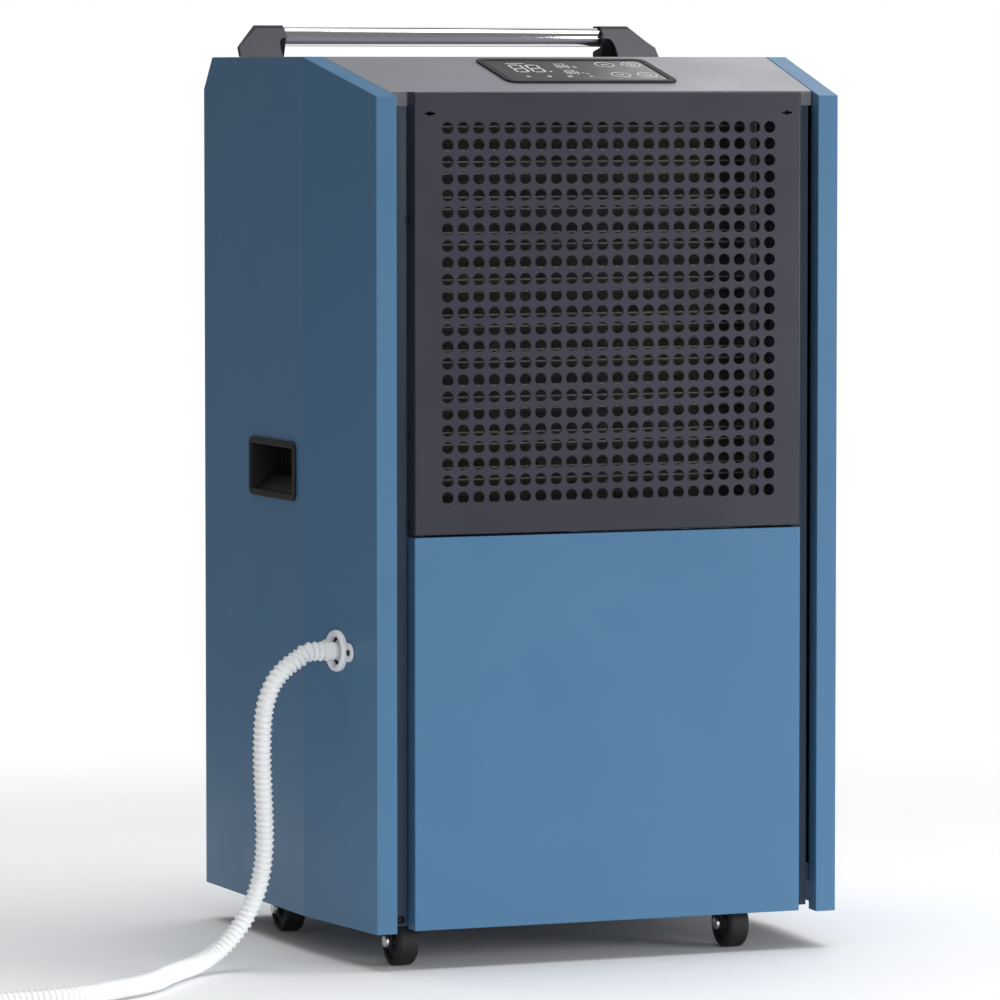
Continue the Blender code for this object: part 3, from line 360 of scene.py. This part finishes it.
def filleted(points, steps=4):
    """A closed outline with round corners. Each point is (a, b, radius)."""
    outline = []
    for i, (a, b, radius) in enumerate(points):
        here = Vector((a, b))
        if radius == 0:
            outline.append((a, b))
            continue
        back = (Vector(points[i - 1][:2]) - here).normalized()
        ahead = (Vector(points[(i + 1) % len(points)][:2]) - here).normalized()
        half = back.angle(ahead) / 2
        centre = here + (back + ahead).normalized() * (radius / math.sin(half))
        first = here + back * (radius / math.tan(half)) - centre
        last = here + ahead * (radius / math.tan(half)) - centre
        start = math.atan2(first.y, first.x)
        sweep = (math.atan2(last.y, last.x) - start + math.pi) % math.tau - math.pi
        for step in range(steps + 1):
            angle = start + sweep * step / steps
            outline.append((centre.x + radius * math.cos(angle), centre.y + radius * math.sin(angle)))
    return outline


def rounded_box(half_a, half_b, radius, steps):
    """Outline of a box with round corners, given by its half sides."""
    return filleted([(sign_a * half_a, sign_b * half_b, radius)
                     for sign_a, sign_b in ((1, 1), (-1, 1), (-1, -1), (1, -1))], steps)


def extrude(bm, outline, low, high, place=Matrix.Identity(4)):
    """Add a closed outline in the place's X and Y, drawn out along its Z."""
    near, far = ([bm.verts.new(place @ Vector((a, b, level))) for a, b in outline] for level in (low, high))
    bm.faces.new(near)
    bm.faces.new(far)
    for i in range(len(outline)):
        j = (i + 1) % len(outline)
        bm.faces.new((near[i], near[j], far[j], far[i]))


def block(bm, low, high):
    """Add a box between two corners."""
    corners = [bm.verts.new((x, y, z)) for z in (low[2], high[2])
               for x, y in ((low[0], low[1]), (high[0], low[1]), (high[0], high[1]), (low[0], high[1]))]
    for face in ((3, 2, 1, 0), (4, 5, 6, 7), (0, 1, 5, 4), (1, 2, 6, 5), (2, 3, 7, 6), (3, 0, 4, 7)):
        bm.faces.new([corners[i] for i in face])


def stroke(bm, points, width, low, high, place, closed=False):
    """Add a flat line of some width along points in the place's X and Y, mitred at its corners."""
    points = [Vector(point) for point in points]
    count = len(points)
    left, right = [], []
    for i, point in enumerate(points):
        before = points[i - 1] if i or closed else None
        after = points[(i + 1) % count] if i < count - 1 or closed else None
        first = (point - before).normalized() if before is not None else (after - point).normalized()
        last = (after - point).normalized() if after is not None else first
        along = (first + last).normalized()
        across = Vector((-along.y, along.x)) * (width / 2 / max(0.4, along.dot(first)))
        left.append(point + across)
        right.append(point - across)
    if closed:
        for a, b in zip(range(count), [*range(1, count), 0]):
            extrude(bm, [left[a], left[b], right[b], right[a]], low, high, place)
    else:
        extrude(bm, left + right[::-1], low, high, place)


def smooth_curve(points, spacing):
    """Points an even distance apart on a smooth curve through the given points."""
    ends = [2 * points[0] - points[1], *points, 2 * points[-1] - points[-2]]
    fine = []
    for before, start, end, after in zip(ends, ends[1:], ends[2:], ends[3:]):
        for step in range(20):
            t = step / 20
            fine.append(0.5 * (2 * start + (end - before) * t
                               + (2 * before - 5 * start + 4 * end - after) * t ** 2
                               + (3 * start - before - 3 * end + after) * t ** 3))
    fine.append(points[-1])
    lengths = [0.0]
    for a, b in zip(fine, fine[1:]):
        lengths.append(lengths[-1] + (b - a).length)
    count = round(lengths[-1] / spacing)
    even, i = [], 0
    for step in range(count + 1):
        want = lengths[-1] * step / count
        while i < len(fine) - 2 and lengths[i + 1] < want:
            i += 1
        share = (want - lengths[i]) / (lengths[i + 1] - lengths[i])
        even.append(fine[i].lerp(fine[i + 1], min(1.0, share)))
    return even


def loft_tube(bm, centres, radii, sides):
    """Add a closed tube through centres, with a radius at each, that doesn't twist."""
    across = Vector((0, 0, 1))
    rings = []
    for i, (centre, radius) in enumerate(zip(centres, radii)):
        along = (centres[min(i + 1, len(centres) - 1)] - centres[max(i - 1, 0)]).normalized()
        across = (across - along * across.dot(along)).normalized()
        up = along.cross(across)
        rings.append([bm.verts.new(centre + radius * (across * math.cos(math.tau * k / sides)
                                                      + up * math.sin(math.tau * k / sides)))
                      for k in range(sides)])
    for lower, upper in zip(rings, rings[1:]):
        for k in range(sides):
            j = (k + 1) % sides
            bm.faces.new((lower[k], lower[j], upper[j], upper[k]))
    bm.faces.new(rings[0])
    bm.faces.new(rings[-1])


def turned_piece(name, profile, steps, place, finish, body=BODY, stands_for=()):
    """A piece made by turning a profile about the place's Z axis."""
    bm = bmesh.new()
    turn(bm, profile, steps, place)
    return add_piece(name, finished(bm, name), finish, body, stands_for)


# --- Drain port and hose ---

PORT_BEHIND = 0.085                 # from the case's front
PORT_Z = 0.318
EAR_THICKNESS = 0.0032
PORT_RING, PORT_BORE = 0.0212, 0.0145
PORT_HEIGHT = 0.0060
PORT_SCREW_REACH = 0.0285           # from the port's middle, to the front and to the rear
SPOUT_TIP = 0.0140
CUFF_LENGTH = 0.042


def port_place(out=0.0):
    """The drain port's place: its Z axis points out of the tapered left side."""
    y = FRONT + PORT_BEHIND
    half = HALF_REAR - (HALF_REAR - HALF_FRONT) * (BEND - y) / (BEND - FRONT)
    outward = math.pi + TAPER
    place = Matrix.Translation((-half, y, PORT_Z)) @ Matrix.Rotation(outward, 4, "Z")
    return place @ Matrix.Rotation(math.pi / 2, 4, "Y") @ Matrix.Translation((0, 0, out))


def coil_point(turns, height):
    """The hose's middle after some turns of the coil, which runs clockwise from its front."""
    angle = -math.pi / 2 - turns * math.tau
    return COIL_CENTRE + Vector((COIL_RADIUS * math.cos(angle), COIL_RADIUS * math.sin(angle), height))


def hose_middle():
    """The hose's centreline: from the port to the floor, along it, and round the coil."""
    route = [port_place(out).translation for out in (SPOUT_TIP + 0.0003, 0.034)]
    route += [Vector(point) for point in HOSE_ROUTE]
    for i in range(round(COIL_TURNS * COIL_STEPS) + 1):
        turns = min(i / COIL_STEPS, COIL_TURNS)
        share = min(1.0, max(0.0, (turns - CLIMB_START) / (CLIMB_END - CLIMB_START)))
        height = COIL_LOW + (COIL_HIGH - COIL_LOW) * share * share * (3 - 2 * share)
        route.append(coil_point(turns, height))
    return smooth_curve(route, RIB_PITCH / RIB_STEPS)


def drain_hose():
    """Corrugated hose, with narrow ribs and wider grooves between them, and the cuff at its end."""
    centres = hose_middle()
    radii = [HOSE_RADIUS - RIB_DEPTH * (1 - (0.5 + 0.5 * math.cos(math.tau * i / RIB_STEPS)) ** 2)
             for i in range(len(centres))]
    bm = bmesh.new()
    loft_tube(bm, centres, radii, HOSE_SIDES)
    hose = add_piece("drain_hose_look", finished(bm, "drain_hose_look", 80), "hose_plastic",
                     stands_for=["drain_hose", "drain_hose_coil"])

    onward = -math.pi - COIL_TURNS * math.tau
    place = (Matrix.Translation(coil_point(COIL_TURNS, COIL_HIGH)) @ Matrix.Rotation(onward, 4, "Z")
             @ Matrix.Rotation(math.pi / 2, 4, "Y"))
    profile = filleted([(0.0062, 0.0016, 0.0004), (0.0098, 0.0016, 0.0008), (0.0098, 0.012, 0.0006),
                        (0.0090, 0.014, 0.0006), (0.0090, CUFF_LENGTH, 0.0008),
                        (0.0062, CUFF_LENGTH, 0.0008)])
    cuff = turned_piece("drain_hose_cuff_look", profile, 40, place, "white_plastic",
                        stands_for=["drain_hose_cuff"])

    port = drain_port()


def drain_port():
    """White flange with two screw ears, its two screws, and the spout that the hose is pushed on."""
    place = port_place()
    bm = bmesh.new()
    ears = rounded_box(0.0095, 0.0355, 0.0094, 8)
    extrude(bm, ears, 0.0003, EAR_THICKNESS, place)
    flange = add_piece("drain_port_ears", finished(bm, "drain_port_ears"), "white_plastic",
                       stands_for=["drain_port_flange"], bevel=0.0009, segments=3)
    bore = bmesh.new()
    bore_radius = PORT_BORE + 0.0003
    turn(bore, [(0, -0.01), (bore_radius, -0.01), (bore_radius, 0.01), (0, 0.01)], 48, place)
    cut(flange, finished(bore, "port_bore"))
    ring = turned_piece(
        "drain_port_ring",
        filleted([(PORT_BORE, 0.0003, 0), (PORT_RING - 0.0002, 0.0003, 0), (PORT_RING, 0.0030, 0.0012),
                  (PORT_RING - 0.0010, PORT_HEIGHT, 0.0020), (PORT_BORE + 0.0010, PORT_HEIGHT, 0.0020),
                  (PORT_BORE, 0.0030, 0.0010)], 5),
        64, place, "white_plastic")
    spout = turned_piece(
        "drain_spout_look",
        filleted([(0.0060, -0.030, 0), (0.0078, -0.030, 0.0008), (0.0120, -0.006, 0.002),
                  (0.0122, -0.001, 0.001), (0.0088, 0.0010, 0.002), (0.0088, 0.0065, 0),
                  (0.0092, 0.0072, 0.0004), (0.0092, 0.0084, 0.0004), (0.0088, 0.0090, 0),
                  (0.0088, SPOUT_TIP, 0.0005), (0.0060, SPOUT_TIP, 0)], 4),
        48, place, "white_plastic", stands_for=["drain_spout"])
    screws = []
    for label, along in (("front", PORT_SCREW_REACH), ("rear", -PORT_SCREW_REACH)):
        seat = place @ Matrix.Translation((0, along, EAR_THICKNESS - 0.0002))
        screws.append(add_screw(f"port_screw_{label}", seat, 0.0034, "compressor_paint"))
    return [flange, ring, spout, *screws]


def cut(obj, tool_mesh):
    """Cut a helper mesh out of an object and keep the result as its mesh."""
    tool = bpy.data.objects.new("tool", tool_mesh)
    bpy.context.scene.collection.objects.link(tool)
    bevels = [modifier for modifier in obj.modifiers if modifier.type == "BEVEL"]
    for bevel in bevels:
        bevel.show_viewport = False
    modifier = obj.modifiers.new("cut", "BOOLEAN")
    modifier.operation = "DIFFERENCE"
    modifier.object = tool
    result = bpy.data.meshes.new_from_object(obj.evaluated_get(bpy.context.evaluated_depsgraph_get()))
    obj.modifiers.remove(modifier)
    for bevel in bevels:
        bevel.show_viewport = True
    result.name = obj.name
    obj.data = result
    bpy.data.objects.remove(tool)


SCREWS = {}                         # meshes of the screws, by their heads' radius


def screw_mesh(radius):
    """Pan-head screw with a cross recess, its seat at z 0."""
    if radius not in SCREWS:
        bm = bmesh.new()
        height = 0.55 * radius
        profile = [(0, -0.0004), (0.97 * radius, -0.0004), (radius, 0.25 * height)]
        profile += [(radius * math.cos(a), height * (0.25 + 0.75 * math.sin(a)))
                    for a in (math.radians(15 * step) for step in range(1, 6))]
        profile += [(0, height)]
        turn(bm, profile, 32)
        head = bpy.data.objects.new("screw", finished(bm, f"screw_{round(radius * 1e4)}"))
        bpy.context.scene.collection.objects.link(head)
        recess = bmesh.new()
        long, wide = 0.52 * radius, 0.11 * radius
        cross = [(wide, wide), (wide, long), (-wide, long), (-wide, wide), (-long, wide), (-long, -wide),
                 (-wide, -wide), (-wide, -long), (wide, -long), (wide, -wide), (long, -wide), (long, wide)]
        extrude(recess, cross, 0.4 * height, 2 * height)
        cut(head, finished(recess, "recess"))
        SCREWS[radius] = head.data
        bpy.data.objects.remove(head)
    return SCREWS[radius]


def add_screw(name, place, radius, finish, body=BODY):
    """A screw with its seat at a place and its head along the place's Z."""
    mesh = screw_mesh(radius).copy()
    mesh.transform(place)
    mesh.shade_smooth()
    mesh.set_sharp_from_angle(angle=math.radians(35))
    return add_piece(name, mesh, finish, body)


def facing(location, axis):
    """A place at a location whose Z points along an axis, such as "-X"."""
    sign = -1 if axis[0] == "-" else 1
    direction = Vector([sign * (letter == axis[-1]) for letter in "XYZ"])
    return Matrix.Translation(location) @ direction.to_track_quat("Z", "Y").to_matrix().to_4x4()


# --- Grille and panels ---

HOLE_COLUMNS, HOLE_ROWS = 22, 23
HOLE_PITCH = 0.01685
HOLE_RADIUS = 0.006
HOLE_STEPS = 24
HOLE_TOP = 0.8465                   # height of the first row
RIM = 0.0004                        # chamfer of each hole
KEYHOLE_X, KEYHOLE_Z = 0.196, 0.861
FOLD_RADIUS = 0.0022                # of the grille's front edges
SCREW_RADIUS = 0.0045
GRILLE_SCREW_HEIGHTS = (0.755, 0.538, 0.450)
GRILLE_SCREW_BEHIND = 0.011
POST_SCREW_X, POST_SCREW_UP = 0.219, 0.006
POST_FACE = 0.0233                  # the posts' faces behind the case's front
REAR_SCREW_X, REAR_SCREW_RADIUS = 0.238, 0.0040
REAR_SCREW_HEIGHTS = (0.075, 0.270, 0.465, 0.660, 0.845)


def hole_field(bm):
    """Sheet with round holes in square cells, chamfered at the front."""
    half = HOLE_PITCH / 2
    turns = [math.tau * i / HOLE_STEPS for i in range(HOLE_STEPS)]
    spokes = [(math.cos(a), math.sin(a)) for a in turns]
    square = [(half * c / max(abs(c), abs(s)), half * s / max(abs(c), abs(s))) for c, s in spokes]
    for column in range(HOLE_COLUMNS):
        x = HOLE_PITCH * (column - (HOLE_COLUMNS - 1) / 2)
        for row in range(HOLE_ROWS):
            z = HOLE_TOP - HOLE_PITCH * row
            rings = []
            for depth, outline in ((0, square), (0, [((HOLE_RADIUS + RIM) * c, (HOLE_RADIUS + RIM) * s)
                                                     for c, s in spokes]),
                                   (RIM, [(HOLE_RADIUS * c, HOLE_RADIUS * s) for c, s in spokes]),
                                   (SHEET, [(HOLE_RADIUS * c, HOLE_RADIUS * s) for c, s in spokes]),
                                   (SHEET, square)):
                rings.append([bm.verts.new((x + a, FRONT + depth, z + b)) for a, b in outline])
            for outer, inner in zip(rings, rings[1:]):
                for i in range(HOLE_STEPS):
                    j = (i + 1) % HOLE_STEPS
                    bm.faces.new((outer[i], outer[j], inner[j], inner[i]))


def tray_profile(radius):
    """Section of a folded tray's edge: (inward from the side, back from the front), outside then inside."""
    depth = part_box("front_grille")[1].y - FRONT
    arc = [math.radians(90 * step / 5) for step in range(6)]
    outside = [(radius * (1 - math.cos(a)), radius * (1 - math.sin(a))) for a in arc]
    inner = radius - SHEET
    inside = [(SHEET + inner * (1 - math.cos(a)), SHEET + inner * (1 - math.sin(a))) for a in arc]
    return [(0.0002, depth), (0, depth - 0.0002), *outside], [*inside[::-1], (SHEET, depth - 0.0002),
                                                             (SHEET - 0.0002, depth)]


def tray_rings(bm, low, high, section):
    """Sweep a tray's section round its four sides."""
    rings = [[bm.verts.new((x, FRONT + back, z)) for x, z in (
        (low.x + inward, low.z + inward), (high.x - inward, low.z + inward),
        (high.x - inward, high.z - inward), (low.x + inward, high.z - inward))] for inward, back in section]
    for outer, inner in zip(rings, rings[1:]):
        for i in range(4):
            j = (i + 1) % 4
            bm.faces.new((outer[i], outer[j], inner[j], inner[i]))
    return rings


def front_grille():
    """Folded tray with a window, the sheet of holes in the window and two keyholes above it."""
    low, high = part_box("front_grille")
    outside, inside = tray_profile(FOLD_RADIUS)
    field_half = HOLE_PITCH * HOLE_COLUMNS / 2
    field_top = HOLE_TOP + HOLE_PITCH / 2
    field_bottom = field_top - HOLE_PITCH * HOLE_ROWS
    corners = [(-field_half, field_bottom), (field_half, field_bottom), (field_half, field_top),
               (-field_half, field_top)]
    frame_bm = bmesh.new()
    front_ring = tray_rings(frame_bm, low, high, outside)
    back_ring = tray_rings(frame_bm, low, high, inside)
    window = [[frame_bm.verts.new((x, FRONT + depth, z)) for x, z in corners] for depth in (0, SHEET)]
    for i in range(4):
        j = (i + 1) % 4
        frame_bm.faces.new((front_ring[-1][i], front_ring[-1][j], window[0][j], window[0][i]))
        frame_bm.faces.new((back_ring[0][i], back_ring[0][j], window[1][j], window[1][i]))
        frame_bm.faces.new((window[0][i], window[0][j], window[1][j], window[1][i]))
        frame_bm.faces.new((front_ring[0][i], front_ring[0][j], back_ring[-1][j], back_ring[-1][i]))
    grille = add_piece("front_grille_frame", finished(frame_bm, "front_grille_frame"), "grey_paint",
                       stands_for=["front_grille"], flat=True)
    for sign in (-1, 1):
        keyhole = bmesh.new()
        place = (Matrix.Translation((sign * KEYHOLE_X, FRONT - 0.005, KEYHOLE_Z))
                 @ Matrix.Rotation(-math.pi / 2, 4, "X"))
        extrude(keyhole, rounded_box(0.0058, 0.0011, 0.001, 3), 0, 0.02, place)
        cut(grille, finished(keyhole, "slot"))
        keyhole = bmesh.new()
        turn(keyhole, [(0, 0), (0.0024, 0), (0.0024, 0.02), (0, 0.02)], 20, place)
        cut(grille, finished(keyhole, "hole"))
    field = bmesh.new()
    hole_field(field)
    add_piece("front_grille_field", finished(field, "front_grille_field", 40), "grey_paint", flat=True)


def front_screws():
    """Black screws in the sides of the front panels and at the foot of each recess."""
    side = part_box("front_grille")[1].x
    for label, sign in SIDES:
        for i, z in enumerate(GRILLE_SCREW_HEIGHTS):
            place = facing((sign * side, FRONT + GRILLE_SCREW_BEHIND, z), "X" if sign > 0 else "-X")
            add_screw(f"grille_screw_{label}_{i}", place, SCREW_RADIUS, "black_plastic")
        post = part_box(f"corner_post_{label}")
        place = facing((sign * POST_SCREW_X, FRONT + POST_FACE, post[0].z + POST_SCREW_UP), "-Y")
        add_screw(f"post_screw_{label}", place, SCREW_RADIUS, "black_plastic")


def rear_screws():
    """Zinc-plated screws down both edges of the rear panel."""
    for label, sign in SIDES:
        for i, z in enumerate(REAR_SCREW_HEIGHTS):
            place = facing((sign * REAR_SCREW_X, REAR, z), "Y")
            add_screw(f"rear_screw_{label}_{i}", place, REAR_SCREW_RADIUS, "zinc")


# --- Display ---

DISPLAY_UP = 0.0014                 # the glass stands this far above the cover
DISPLAY_SUNK = 0.0015               # and reaches this far below it
PRINT = 0.00008                     # thickness of the marks
KEY_COLUMNS = (0.0418, 0.0713)      # touch keys, in the glass's own axes
KEY_ROWS = (0.0256, -0.0188)
KEY_RADIUS = 0.0100
BOTTOM_MARKS = -0.0262              # the row of small marks below the numerals


def display_place():
    """The display's place: level with the cover, in the middle of the glass, Z out of it."""
    low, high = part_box("display_glass")
    return (Matrix.Translation((low + high) / 2) @ Matrix.Rotation(SLOPE, 4, "X")
            @ Matrix.Translation((0, 0, (DISPLAY_SUNK - DISPLAY_UP) / 2)))


def digit(bm, x, y, width, height, line, place, level):
    """Seven bars of one numeral, as an 8."""
    gap = line * 0.75
    left, right = x - width / 2, x + width / 2
    low, high = y - height / 2, y + height / 2
    bars = [((left + gap, level_y), (right - gap, level_y)) for level_y in (low, y, high)]
    bars += [((side, a + gap), (side, b - gap))
             for side in (left, right) for a, b in ((low, y), (y, high))]
    for start, end in bars:
        stroke(bm, (start, end), line, *level, place)


def circle(x, y, radius, steps=40, start=0.0, sweep=math.tau):
    """Points round a circle or an arc, from the top clockwise."""
    angles = [start + sweep * i / steps for i in range(steps + (sweep < math.tau))]
    return [(x + radius * math.sin(a), y + radius * math.cos(a)) for a in angles]


def numerals(bm, level, place):
    """Two large numerals with a dot and a bar, and two pairs of small ones under bars."""
    for x in (-0.0605, -0.0420):
        digit(bm, x, 0.0085, 0.0125, 0.0300, 0.0019, place, level)
    stroke(bm, circle(-0.0300, -0.0048, 0.0010, 12), 0.0012, *level, place, closed=True)
    stroke(bm, ((-0.0670, 0.0295), (-0.0470, 0.0295)), 0.0014, *level, place)
    for y in (0.0180, -0.0095):
        for x in (-0.0125, -0.0045):
            digit(bm, x, y, 0.0048, 0.0120, 0.0013, place, level)
        stroke(bm, ((-0.0150, y + 0.0105), (-0.0020, y + 0.0105)), 0.0010, *level, place)


def unit_marks(bm, level, place):
    """A percent sign and a degrees Celsius sign beside the small numerals."""
    for x, y in ((0.0030, 0.0172), (0.0052, 0.0128), (0.0030, -0.0103)):
        stroke(bm, circle(x, y, 0.0009, 12), 0.0007, *level, place, closed=True)
    stroke(bm, ((0.0022, 0.0120), (0.0058, 0.0180)), 0.0007, *level, place)
    degree_arc = circle(0.0068, -0.0130, 0.0018, 14, math.radians(60), math.radians(240))
    stroke(bm, degree_arc, 0.0008, *level, place)


def state_marks(bm, level, place):
    """Row of small marks at the foot of the display: ring, diamond, three bars and an angle."""
    y = BOTTOM_MARKS
    stroke(bm, circle(-0.0632, y, 0.0016, 16), 0.0012, *level, place, closed=True)
    diamond = ((-0.0420, y), (-0.0400, y + 0.0024), (-0.0380, y), (-0.0400, y - 0.0024))
    stroke(bm, diamond, 0.0012, *level, place, closed=True)
    for i in range(3):
        bar_y = y - 0.002 + 0.002 * i
        stroke(bm, ((-0.0200, bar_y), (-0.0145, bar_y)), 0.0009, *level, place)
    stroke(bm, ((0.0045, y - 0.0022), (0.0063, y + 0.0022), (0.0081, y - 0.0022)), 0.0010, *level, place)


def touch_keys(bm, level, place):
    """Four ringed keys: up and down on the left, a clock and a power sign on the right."""
    for x in KEY_COLUMNS:
        for y in KEY_ROWS:
            stroke(bm, circle(x, y, KEY_RADIUS, 56), 0.0011, *level, place, closed=True)
    left, right = KEY_COLUMNS
    for y, sign in zip(KEY_ROWS, (1, -1)):
        tip, foot = y + sign * 0.0020, y - sign * 0.0020
        stroke(bm, ((left - 0.0040, foot), (left, tip), (left + 0.0040, foot)), 0.0011, *level, place)
    upper, lower = KEY_ROWS
    stroke(bm, circle(right, upper, 0.0046, 32), 0.0010, *level, place, closed=True)
    stroke(bm, ((right, upper + 0.0028), (right, upper), (right + 0.0020, upper)), 0.0009, *level, place)
    power_arc = circle(right, lower - 0.0004, 0.0042, 28, math.radians(35), math.radians(290))
    stroke(bm, power_arc, 0.0010, *level, place)
    stroke(bm, ((right, lower + 0.0008), (right, lower + 0.0050)), 0.0010, *level, place)


def display_marks():
    """Everything that is printed on the glass, as one piece."""
    place = display_place()
    level = (DISPLAY_UP, DISPLAY_UP + PRINT)
    bm = bmesh.new()
    for draw in (numerals, unit_marks, state_marks, touch_keys):
        draw(bm, level, place)
    add_piece("display_marks", finished(bm, "display_marks"), "display_marks")


# --- Handle ---

def handle():
    """Chrome bar, its grey bracket plates and the black bodies that hold it."""
    low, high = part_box("handle_bar")
    radius = (high.z - low.z) / 2
    half = (high.x - low.x) / 2
    place = Matrix.Translation((low + high) / 2) @ Matrix.Rotation(math.pi / 2, 4, "Y")
    profile = filleted([(0, -half, 0), (radius, -half, 0.0008), (radius, half, 0.0008), (0, half, 0)])
    turned_piece("handle_bar_look", profile, 96, place, "chrome", stands_for=["handle_bar"])
    for label, _ in SIDES:
        refined(f"handle_bracket_{label}", "grey_paint", 0.0005, 3)
        refined(f"handle_support_{label}", "black_plastic", 0.0009, 3)


# --- Castors ---

def castors():
    """Each castor's wheel with a dished hub, axle with domed heads, fork and plate."""
    for place in PLACES:
        low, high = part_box(f"castor_wheel_{place}")
        middle = (low + high) / 2
        radius, half = (high.z - low.z) / 2, (high.x - low.x) / 2
        sideways = Matrix.Translation(middle) @ Matrix.Rotation(math.pi / 2, 4, "Y")
        face = half - 0.0004
        profile = [(0.0044, -half, 0.0003), (0.0090, -half, 0.0006), (0.0102, -face + 0.003, 0.0008),
                   (0.0168, -face + 0.003, 0.0010), (0.0182, -face, 0.0006),
                   (radius - 0.0022, -face, 0.0012), (radius, -face + 0.0030, 0.0020)]
        profile += [(a, -b, c) for a, b, c in profile[::-1]]
        turned_piece(f"castor_wheel_{place}_look", filleted(profile, 4), 72, sideways, "castor_tread",
                     f"wheel_{place}", [f"castor_wheel_{place}"])
        low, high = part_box(f"castor_axle_{place}")
        half = (high.x - low.x) / 2
        head = half - 0.0035
        profile = filleted([(0, -half, 0), (0.0058, -half, 0.0010), (0.0068, -head, 0.0004),
                            (0.0040, -head, 0), (0.0040, head, 0), (0.0068, head, 0.0004),
                            (0.0058, half, 0.0010), (0, half, 0)], 3)
        turned_piece(f"castor_axle_{place}_look", profile, 40, sideways, "zinc", f"castor_{place}",
                     [f"castor_axle_{place}"])
        refined(f"castor_fork_{place}", "black_plastic", 0.0005, 2, f"castor_{place}")
        refined(f"castor_plate_{place}", "zinc", 0.0004, 2)


# --- Coils ---

ROW_PITCH = 0.0119
TUBE_HEIGHT = 0.0014
FIN_PITCH = 0.0022
FIN_HALF = 0.00012                  # half a fin's thickness
FIN_HEIGHT = 0.0070
FIN_BACK = 0.016                    # the fins end this far behind the coil's face
CORE_WIDTH = 0.370
FIRST_ROW = 0.004                   # height of the first row above the coil's foot
END_PLATE = 0.0015
END_BEHIND = 0.008                  # the end plates start this far behind the coil's face
STRIP_IN, STRIP_OUT = 0.0038, 0.0090    # edges of the strip beside the right end plate
BEND_COUNT = 8
BEND_RADIUS, PIPE_RADIUS = 0.0125, 0.004


def coil(node):
    """Fins on flat tubes, a black block behind them, end plates and copper bends. The fins' dark grey and
    the black block are painted shade for the deep inside of the coil.
    """
    low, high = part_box(node)
    left, right = low.x + END_PLATE, low.x + END_PLATE + CORE_WIDTH
    front, back = low.y, high.y
    fin_back = front + FIN_BACK
    bm = bmesh.new()
    rows = int((high.z - low.z - FIRST_ROW) / ROW_PITCH)
    fins = int((right - left - 0.002) / FIN_PITCH)
    for row in range(rows):
        bottom = low.z + FIRST_ROW + ROW_PITCH * row
        block(bm, (left, front + 0.002, bottom), (right, fin_back, bottom + TUBE_HEIGHT))
        for i in range(fins):
            x = left + 0.001 + FIN_PITCH * (i + 0.5)
            block(bm, (x - FIN_HALF, front + 0.003, bottom + TUBE_HEIGHT - 0.0001),
                  (x + FIN_HALF, fin_back, bottom + FIN_HEIGHT))
    mesh = bpy.data.meshes.new(f"{node}_fins")
    bm.to_mesh(mesh)
    bm.free()
    add_piece(f"{node}_fins", mesh, "aluminium_fins", stands_for=[node])

    # Painted shade: a black block fills the coil behind the short fins, where the deep fin pack would lie
    # in shade.
    bm = bmesh.new()
    block(bm, (left, fin_back - 0.001, low.z + 0.002), (right, back - 0.002, high.z - 0.002))
    add_piece(f"{node}_painted_shade_block", finished(bm, f"{node}_painted_shade_block"), "compressor_paint", bevel=0.0008)

    bm = bmesh.new()
    plate_front = front + END_BEHIND
    block(bm, (left - END_PLATE, plate_front, low.z), (left, back, high.z))
    block(bm, (right, plate_front, low.z), (right + END_PLATE, back, high.z))
    edge = right + STRIP_OUT
    block(bm, (right + STRIP_IN, front, low.z), (edge, front + END_PLATE, high.z))
    block(bm, (right + 0.0010, plate_front, low.z), (edge, plate_front + END_PLATE, high.z))
    block(bm, (edge - END_PLATE, front + 0.0010, low.z), (edge, plate_front + 0.001, high.z))
    add_piece(f"{node}_end_plates", finished(bm, f"{node}_end_plates"), "zinc", bevel=0.0004)

    bm = bmesh.new()
    pitch = (high.z - low.z) / BEND_COUNT
    arc = [math.radians(180 * step / 12 - 90) for step in range(13)]
    for i in range(BEND_COUNT):
        middle = Vector((right, (front + back) / 2, low.z + (i + 0.5) * pitch))
        centres = [middle + BEND_RADIUS * Vector((math.cos(a), 0, math.sin(a))) for a in arc]
        loft_tube(bm, centres, [PIPE_RADIUS] * len(centres), 12)
    add_piece(f"{node}_bends", finished(bm, f"{node}_bends", 60), "copper")


# --- The whole object ---

FINISHES = make_finishes()

add_camera()
add_lights()
add_surroundings()
add_floor()
drain_hose()

for side_name, _ in SIDES:
    refined(f"side_panel_{side_name}", "blue_paint", 0.0008, 3)
    refined(f"corner_post_{side_name}", "chassis_paint", 0.0004)
    refined(f"side_grip_{side_name}", "black_plastic", 0.0009, 3)
refined("lower_front_panel", "blue_paint", 0.0009, 3)
refined("top_cover", "cover_paint", 0.0009, 3)
refined("rear_panel", "blue_paint", 0.0007)
refined("outlet_grille", "black_plastic", 0.0004)
refined("display_bezel", "black_plastic", 0.0005, 3)
refined("display_glass", "display_glass", 0.0004)
for node_name, finish_name, width in (
        ("base_pan", "chassis_paint", 0.0005), ("partition_shelf", "zinc", 0.0004),
        ("fan_shroud", "zinc", 0.0004), ("drip_tray", "black_plastic", 0.0005),
        ("air_filter", "black_plastic", 0.0005), ("electrical_box", "zinc", 0.0004)):
    refined(node_name, finish_name, width)
front_grille()
front_screws()
rear_screws()
display_marks()
handle()
castors()
coil("evaporator")
coil("condenser")

# CAD nodes that are shown as they are
KEPT = {
    "control_board": "circuit_board", "fan_impeller": "black_plastic", "fan_motor": "zinc",
    "fan_motor_bracket": "zinc", "compressor": "compressor_paint", "condensate_tank": "clear_plastic",
    "condensate_pump": "black_plastic", "pump_float": "white_plastic",
    "condensate_downpipe": "clear_plastic", "pump_outlet_tube": "clear_plastic",
    "discharge_pipe": "copper", "suction_pipe": "copper", "cable_gland": "black_plastic",
}
for node_name, finish_name in KEPT.items():
    kept = NODES[node_name]
    kept.data.materials.clear()
    kept.data.materials.append(FINISHES[finish_name])

bpy.context.view_layer.update()
